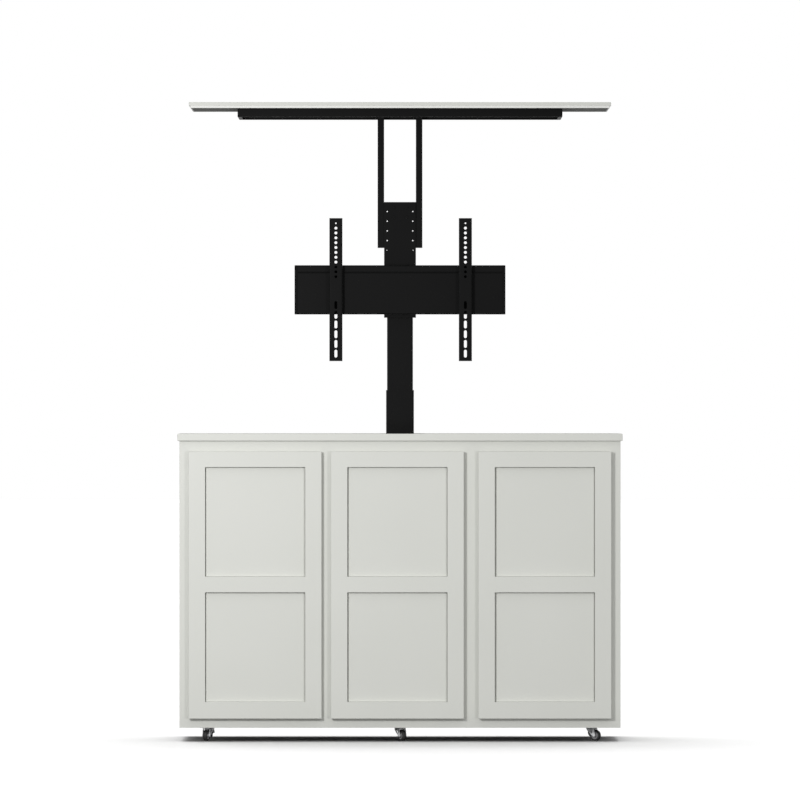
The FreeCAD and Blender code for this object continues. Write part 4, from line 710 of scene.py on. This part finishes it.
def makeCrossPlate(v):
    # Path in y and z: down the lower lip, forwards, up the front with a pressed crease,
    # rearwards, down the lip. The crease runs back, then out a little less, and its three bends
    # rise four times the radius times the sine.
    sheet, bend, turn = v["sheet"], v["bend"], math.radians(v["creaseTurn"])
    radius = bend - sheet / 2
    rise = 4 * radius * math.sin(turn) + (v["creaseBack"] + v["creaseOut"]) * math.cos(turn)
    step = (v["creaseBack"] - v["creaseOut"]) * math.sin(turn)
    over = v["creaseDrop"] - bend - rise / 2
    under = v["top"] - v["foot"] - 2 * bend - rise - over
    flange = v["back"] - v["front"] - 2 * bend
    runs = [(v["lip"] - bend, -90), (flange, -90), (under, -v["creaseTurn"]),
            (v["creaseBack"], 2 * v["creaseTurn"]), (v["creaseOut"], -v["creaseTurn"]),
            (over, -90), (flange - step, -90), (v["lip"] - bend, 0)]
    cuts, place = bentPath(runs, radius, (v["back"] - sheet / 2, v["foot"] + v["lip"]), -90)
    cutsU = np.linspace(-v["half"], v["half"], v["columns"])
    flat, offset, quads = piercedSheet(cutsU, fineCuts(cuts, v["longest"]), sheet)
    y, z = place(flat[:, 1], offset)
    plate = sheetSkin(quads, flat[:, 0], y, z)
    ends = []
    for side in (-1, 1):
        near, far = sorted((side * v["half"], side * (v["half"] + v["endWidth"])))
        below, above = (v["endInner"], v["endOuter"])[::side]
        ends.append(board((near, v["front"] + v["endSet"], v["foot"]),
                          (far, v["back"], v["top"]), across=0, below=below, above=above,
                          corner=v["endCorner"], steps=4))
    makePiece("crossPlate", {blackSteel: [plate], endCapBlack: ends}, "stage_4",
              ["tv_cross_plate"])


makeCrossPlate(crossValues)

railValues = {
    "middles": {"left": -198, "right": 202}, "foot": 1165.5, "tall": 441.5, "half": 20,
    "front": 40, "deep": 24, "sheet": 2.5, "bend": 3.0, "ease": 0.35,
    "block": 12.0, "blockCuts": 9,
    "holeRadius": 4.4, "endHoleRadius": 2.5, "holePitch": 15, "holeCount": 12, "holeDrop": 15.8,
    "holeCuts": 7,
    "slotRadius": 4.4, "slotSpine": 7.6, "slotPitch": 30, "slotCount": 6, "slotRise": 23,
    "slotCuts": 13,
}


def makeRail(name, v):
    # Path in x and y: forwards along one side, across the face, and back along the other; z is
    # the other way.
    middle, bend, sheet = v["middles"][name], v["bend"], v["sheet"]
    side, face = v["deep"] - bend, 2 * (v["half"] - bend)
    radius = bend - sheet / 2
    start = (middle - v["half"] + sheet / 2, v["front"] + v["deep"])
    cuts, place = bentPath([(side, 90), (face, 90), (side, 0)], radius, start, -90)
    centre = side + math.pi / 2 * radius + face / 2
    blockU, blockHole, blockSlot = v["block"], v["holePitch"] / 2, v["slotPitch"] / 2
    holeHeights = v["tall"] - v["holeDrop"] - v["holePitch"] * np.arange(v["holeCount"])
    slotHeights = v["slotRise"] + v["slotPitch"] * np.arange(v["slotCount"])
    cutsU = closeCuts(cuts, [centre], blockU, v["blockCuts"])
    cutsV = closeCuts([0, v["tall"]], holeHeights, blockHole, v["holeCuts"])
    cutsV = closeCuts(cutsV, slotHeights, blockSlot, v["slotCuts"])
    radii = [v["endHoleRadius"]] + [v["holeRadius"]] * (v["holeCount"] - 1)
    holes = [(centre, z, r, 0, 0, blockU, blockHole) for z, r in zip(holeHeights, radii)]
    holes += [(centre, z, v["slotRadius"], 0, v["slotSpine"], blockU, blockSlot)
              for z in slotHeights]
    flat, offset, quads = piercedSheet(cutsU, cutsV, sheet, holes)
    x, y = place(flat[:, 0], offset)
    surface = sheetSkin(quads, x, y, v["foot"] + flat[:, 1])
    makePiece(f"rail_{name}", {blackSteel: [surface]}, "stage_4", [f"vesa_rail_{name}"],
              bevel=v["ease"])


for name in ("left", "right"):
    makeRail(name, railValues)
print("lid, tray, bracket, plates and rails made")

# Telescopic column: the width, depth, foot and head of four tubes about one middle.

tubeValues = {
    "tubes": {"1": (92, 68, 66, 626), "2": (86, 62, 518, 1076), "3": (80, 56, 964, 1514),
              "4": (74, 50, 1092, 1650)},
    "y": 140, "wall": 1.8, "corner": 5.0, "ease": 0.4,
}


def makeTube(name, v):
    # Closed profile: up the outside, over the rim, down the inside and under the foot.
    width, deep, foot, head = v["tubes"][name]
    rim = easedEdge(head - foot, v["ease"], v["ease"], steps=2)
    profile = np.concatenate([rim, (rim * (-1, 1) + (v["wall"], 0))[::-1]])
    grid = rings((-width / 2, v["y"] - deep / 2, foot), (width / 2, v["y"] + deep / 2, head),
                 profile, v["corner"], steps=6)
    body = "cabinet" if name == "1" else f"stage_{name}"
    makePiece(f"columnTube_{name}", {columnBlack: [skin(grid, wrap=True)]}, body,
              [f"column_stage_{name}"])


for name in tubeValues["tubes"]:
    makeTube(name, tubeValues)
print("column made")

# Castors: plates on the cabinet, and six turning forks with their wheels. A place is x, y and
# the fork's angle; a line of the fork is its heights, then its reach at each.

castorValues = {
    "places": {"front_left": (-589, -130, 248), "front_middle": (0, -130, 302),
               "front_right": (589, -130, 330), "rear_left": (-589, 150, 276),
               "rear_middle": (0, 150, 300), "rear_right": (589, 150, 318)},
    "plateHalf": 19, "plateFoot": 40, "plateHead": 42, "plateRounds": (0.4, 0.1),
    "plateCorner": 3.0,
    "race": [(7.6, 38.3), (8.7, 38.5), (9, 39.0), (9, 40.05)],
    "pin": [(2.4, 33.7), (4.3, 33.9), (5, 34.6), (5, 35.7), (3, 35.7), (3, 38.5)],
    "trail": 12, "sheet": 2, "bend": 3.0, "forkHalf": 12, "forkFoot": 13, "forkHead": 38,
    "windowFoot": 23, "longest": 2.0, "ease": 0.3,
    "backLine": ((13, 15, 34, 38), (10, 8, -13, -13)),
    "windowBack": ((13, 23, 35, 38), (11.3, 2, -4, -4)),
    "windowFront": ((13, 23, 35, 38), (12.7, 5, 6, 6)),
    "frontLine": ((13, 15, 19, 38), (14, 16, 16, 12)),
    "axle": [(2.5, 12), (4, 12), (4, 12.6), (3.3, 13.05), (1.6, 13.2)],
    "wheelRadius": 17, "wheelCrease": 32,
    "tyre": [(11.5, 6.4), (13.9, 6.5), (15.4, 6.1), (16.4, 5.0), (16.85, 3.6), (17, 1.8)],
    "hub": [(2.6, 9.7), (4.4, 9.7), (5, 9.1), (5, 3.4), (9.3, 2.9), (9.9, 4.9), (10.5, 5.4),
            (11.55, 5.4)],
    "rounds": {"plate": 32, "axle": 24, "tyre": 48, "hub": 32},  # points round each turning
}


def mirroredProfile(half):
    # (radius, height) pairs above the middle, then the same pairs below it the other way round.
    pairs = np.array(half, float)
    return np.concatenate([pairs, pairs[::-1] * (1, -1)])


def makeFork(name, v):
    # Path in y and z: up a cheek, across the crown and down the other cheek. Four lines run up
    # the sheet, the two edges and the two sides of the window, and a point between two lines
    # blends them.
    across, along, angle = v["places"][name]
    up, radius = v["forkHead"] - v["bend"] - v["forkFoot"], v["bend"] - v["sheet"] / 2
    crown = 2 * (v["forkHalf"] - v["bend"])
    start = (v["sheet"] / 2 - v["forkHalf"], v["forkFoot"])
    cuts, place = bentPath([(up, -90), (crown, -90), (up, 0)], radius, start, 90)
    opening = v["windowFoot"] - v["forkFoot"]
    windows = [(1, 2, opening, up), (1, 2, cuts[-1] - up, cuts[-1] - opening)]
    cutsU = np.linspace(0, 3, 7)  # three strips between the lines, each two quads wide
    cutsV = fineCuts(cuts + [opening, cuts[-1] - opening], v["longest"])
    flat, offset, quads = piercedSheet(cutsU, cutsV, v["sheet"], windows=windows)
    height = place(flat[:, 1], 0)[1]
    lines = np.stack([np.interp(height, *v[line])
                      for line in ("backLine", "windowBack", "windowFront", "frontLine")])
    first = np.minimum(flat[:, 0].astype(int), 2)
    share, column = flat[:, 0] - first, np.arange(len(flat))
    reach = lines[first, column] * (1 - share) + lines[first + 1, column] * share
    sheet = sheetSkin(quads, reach, *place(flat[:, 1], offset))
    axle = lathe(mirroredProfile(v["axle"][::-1])[::-1], (v["trail"], 0, v["wheelRadius"]), 1,
                 v["rounds"]["axle"])
    fork = [standing(part, across, along, angle) for part in (sheet, axle)]
    makePiece(f"castorFork_{name}", {zincPlate: fork}, f"castor_fork_{name}",
              [f"castor_fork_{name}"], bevel=v["ease"])


def makeWheel(name, v):
    # Tyre and rim: two closed outlines turned about the axle.
    across, along, angle = v["places"][name]
    tyre, hub = (standing(lathe(mirroredProfile(v[part]), (v["trail"], 0, v["wheelRadius"]), 1,
                                v["rounds"][part], wrap=True), across, along, angle)
                 for part in ("tyre", "hub"))
    makePiece(f"castorWheel_{name}", {tyreRubber: [tyre], wheelRim: [hub]},
              f"castor_wheel_{name}", [f"castor_wheel_{name}"],
              crease=v["wheelCrease"])


def makeCastorPlates(v):
    # Each castor's plate is a board, and its race and pin are turned about its upright axis.
    half, (below, above) = v["plateHalf"], v["plateRounds"]
    surfaces = []
    for across, along, _ in v["places"].values():
        surfaces.append(board((across - half, along - half, v["plateFoot"]),
                              (across + half, along + half, v["plateHead"]), across=2,
                              below=below, above=above, corner=v["plateCorner"], steps=4))
        surfaces += [lathe(v[part], (across, along, 0), 2, v["rounds"]["plate"])
                     for part in ("race", "pin")]
    makePiece("castorPlates", {zincPlate: surfaces}, "cabinet", ["castor_plates"])


for name in castorValues["places"]:
    makeFork(name, castorValues)
    makeWheel(name, castorValues)
makeCastorPlates(castorValues)
print("castors made")

# Small parts: a merged copy of each node's shape, with its sharp edges eased by a fine bevel.

easeValues = {
    "weld": 2e-6, "flatAngle": 0.5, "usual": 0.3,  # metres, degrees, and millimetres from here
    "back_panel": 0.6, "floor_panel": 0.6, "column_base": 0.6, "column_cap": 0.5,
    "control_box": 1.5, "cable_gland": 0.6, "drive_motor": 0.8, "lift_nut": 0.4,
    "steady_bracket": 0.4, "lift_fasteners": 0.25, "cabinet_screws": 0.2, "door_bumpers": 0.4,
    "push_latches": 0.6,
}


def easeNode(name, node, v):
    # Merges the corners of a copy, joins its flat triangles and bevels what is still sharp.
    mesh = node.data.copy()
    work = bmesh.new()
    work.from_mesh(mesh)
    bmesh.ops.remove_doubles(work, verts=work.verts, dist=v["weld"])
    bmesh.ops.dissolve_limit(work, angle_limit=math.radians(v["flatAngle"]), verts=work.verts,
                             edges=work.edges)
    work.to_mesh(mesh)
    work.free()
    mesh.shade_smooth()
    piece = addPiece(f"{name}_eased", mesh, v.get(name, v["usual"]))
    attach(piece, node["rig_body"])
    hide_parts(name)


eased = 0
for name, node in frame["nodes"].items():
    slot = node.material_slots[0].material.name.split(".")[0]
    node.material_slots[0].material = finishOfSlot[slot].material
    if not node.hide_render:
        easeNode(name, node, easeValues)
        eased += 1
print("small parts eased:", eased)

# Studio: white air, a pale floor with its own wide light from above, a key light at the left
# front, a lower fill at the right front, a light at the back and the camera.

studioValues = {
    "floorHalf": 60.0, "floorCuts": 9, "floorSeen": (0.80, 0.80, 0.80),
    "floorBounce": (0.15, 0.15, 0.15), "gloss": 0.35, "air": 0.43, "airTop": 0.78,
    "aim": (0, -0.19, 0.9),
    "key": {"kind": "AREA", "place": (-1.5, -3.77, 1.45), "size": 0.6, "power": 76},
    "fill": {"kind": "AREA", "place": (3.18, -6.43, 0.25), "size": 0.6, "power": 74},
    "back": {"kind": "AREA", "place": (3.2, 4.6, 2.6), "size": 2.0, "power": 150},
    "floorLight": {"kind": "SUN", "place": (-0.45, 1.0, 5.0), "size": math.radians(50),
                   "power": 2.36},
}


def makeFloor(v):
    # The floor looks white, also in bright metal, but throws little light back up, as a shadow
    # sheet does.
    floor = Finish("studioFloor")
    seen = floor.node("ShaderNodeLightPath", {}, {}, "Is Camera Ray")
    seen = seen + floor.node("ShaderNodeLightPath", {}, {}, "Is Glossy Ray") * v["gloss"]
    patch = floor.noise(floor.place(), scale=1.3)
    colour = floor.tint(seen * (patch * 0.01 + 0.99), v["floorBounce"], v["floorSeen"])
    floor.close(Base_Color=colour, Roughness=0.9, Specular_IOR_Level=0.0)
    count = v["floorCuts"]
    side = np.linspace(-v["floorHalf"], v["floorHalf"], count)
    x, y = np.meshgrid(side, side, indexing="ij")
    index = np.arange(count * count).reshape(count, count)
    quads = np.stack([index[:-1, :-1], index[1:, :-1], index[1:, 1:], index[:-1, 1:]], -1)
    points = np.stack([x.ravel(), y.ravel(), np.zeros(count * count)], -1)
    mesh = bpy.data.meshes.new("studioFloor")
    mesh.from_pydata(points, [], quads.reshape(-1, 4).tolist())
    mesh.materials.append(floor.material)
    ground = bpy.data.objects.new("studioFloor", mesh)
    bpy.context.scene.collection.objects.link(ground)
    return ground


def makeAir(v):
    # White where it is seen; as light it grows from the air's strength to the top's overhead.
    world = bpy.data.worlds.new("studioAir")
    world.use_nodes = True
    air = Finish("studioAir", world.node_tree)
    direction = air.node("ShaderNodeTexCoord", {}, {}, "Generated")
    height = air.node("ShaderNodeSeparateXYZ", {}, {0: direction}, "Z")
    level = air.ramp(height, low=0.0, high=1.0)
    seen = air.node("ShaderNodeLightPath", {}, {}, "Is Camera Ray")
    strength = seen + (1 - seen) * (level * (v["airTop"] - v["air"]) + v["air"])
    sockets = {"Color": (1, 1, 1, 1), "Strength": strength}
    air.output("ShaderNodeOutputWorld", air.node("ShaderNodeBackground", {}, sockets))
    bpy.context.scene.world = world


def makeLights(v, ground):
    # The key, fill and back lights fall on the object only, and the wide light from above on the
    # floor only.
    for name in ("key", "fill", "back", "floorLight"):
        look = v[name]
        light = bpy.data.lights.new(name, look["kind"])
        light.energy = look["power"]
        if look["kind"] == "SUN":
            light.angle = look["size"]
        else:
            light.shape, light.size = "DISK", look["size"]
        lamp = bpy.data.objects.new(name, light)
        lamp.location = look["place"]
        aim = Vector(v["aim"]) - lamp.location
        lamp.rotation_euler = aim.to_track_quat("-Z", "Y").to_euler()
        bpy.context.scene.collection.objects.link(lamp)
        lit = bpy.data.collections.new(f"litBy_{name}")
        for thing in bpy.data.objects:
            if thing.type == "MESH" and (thing == ground) == (name == "floorLight"):
                lit.objects.link(thing)
        lamp.light_linking.receiver_collection = lit


ground = makeFloor(studioValues)
makeAir(studioValues)
makeLights(studioValues, ground)

cameraValues = {"place": (0, -25.189, 1.0453), "lens": 367.6, "sensor": 36.0, "farthest": 200.0}


def makeCamera(v):
    data = bpy.data.cameras.new("studioCamera")
    data.lens, data.sensor_width, data.clip_end = v["lens"], v["sensor"], v["farthest"]
    camera = bpy.data.objects.new("studioCamera", data)
    camera.location = v["place"]
    camera.rotation_euler = (math.pi / 2, 0, 0)
    bpy.context.scene.collection.objects.link(camera)
    bpy.context.scene.camera = camera


makeCamera(cameraValues)
bpy.context.scene.view_settings.view_transform = "Standard"
print("studio and camera set")

print("scene ready")
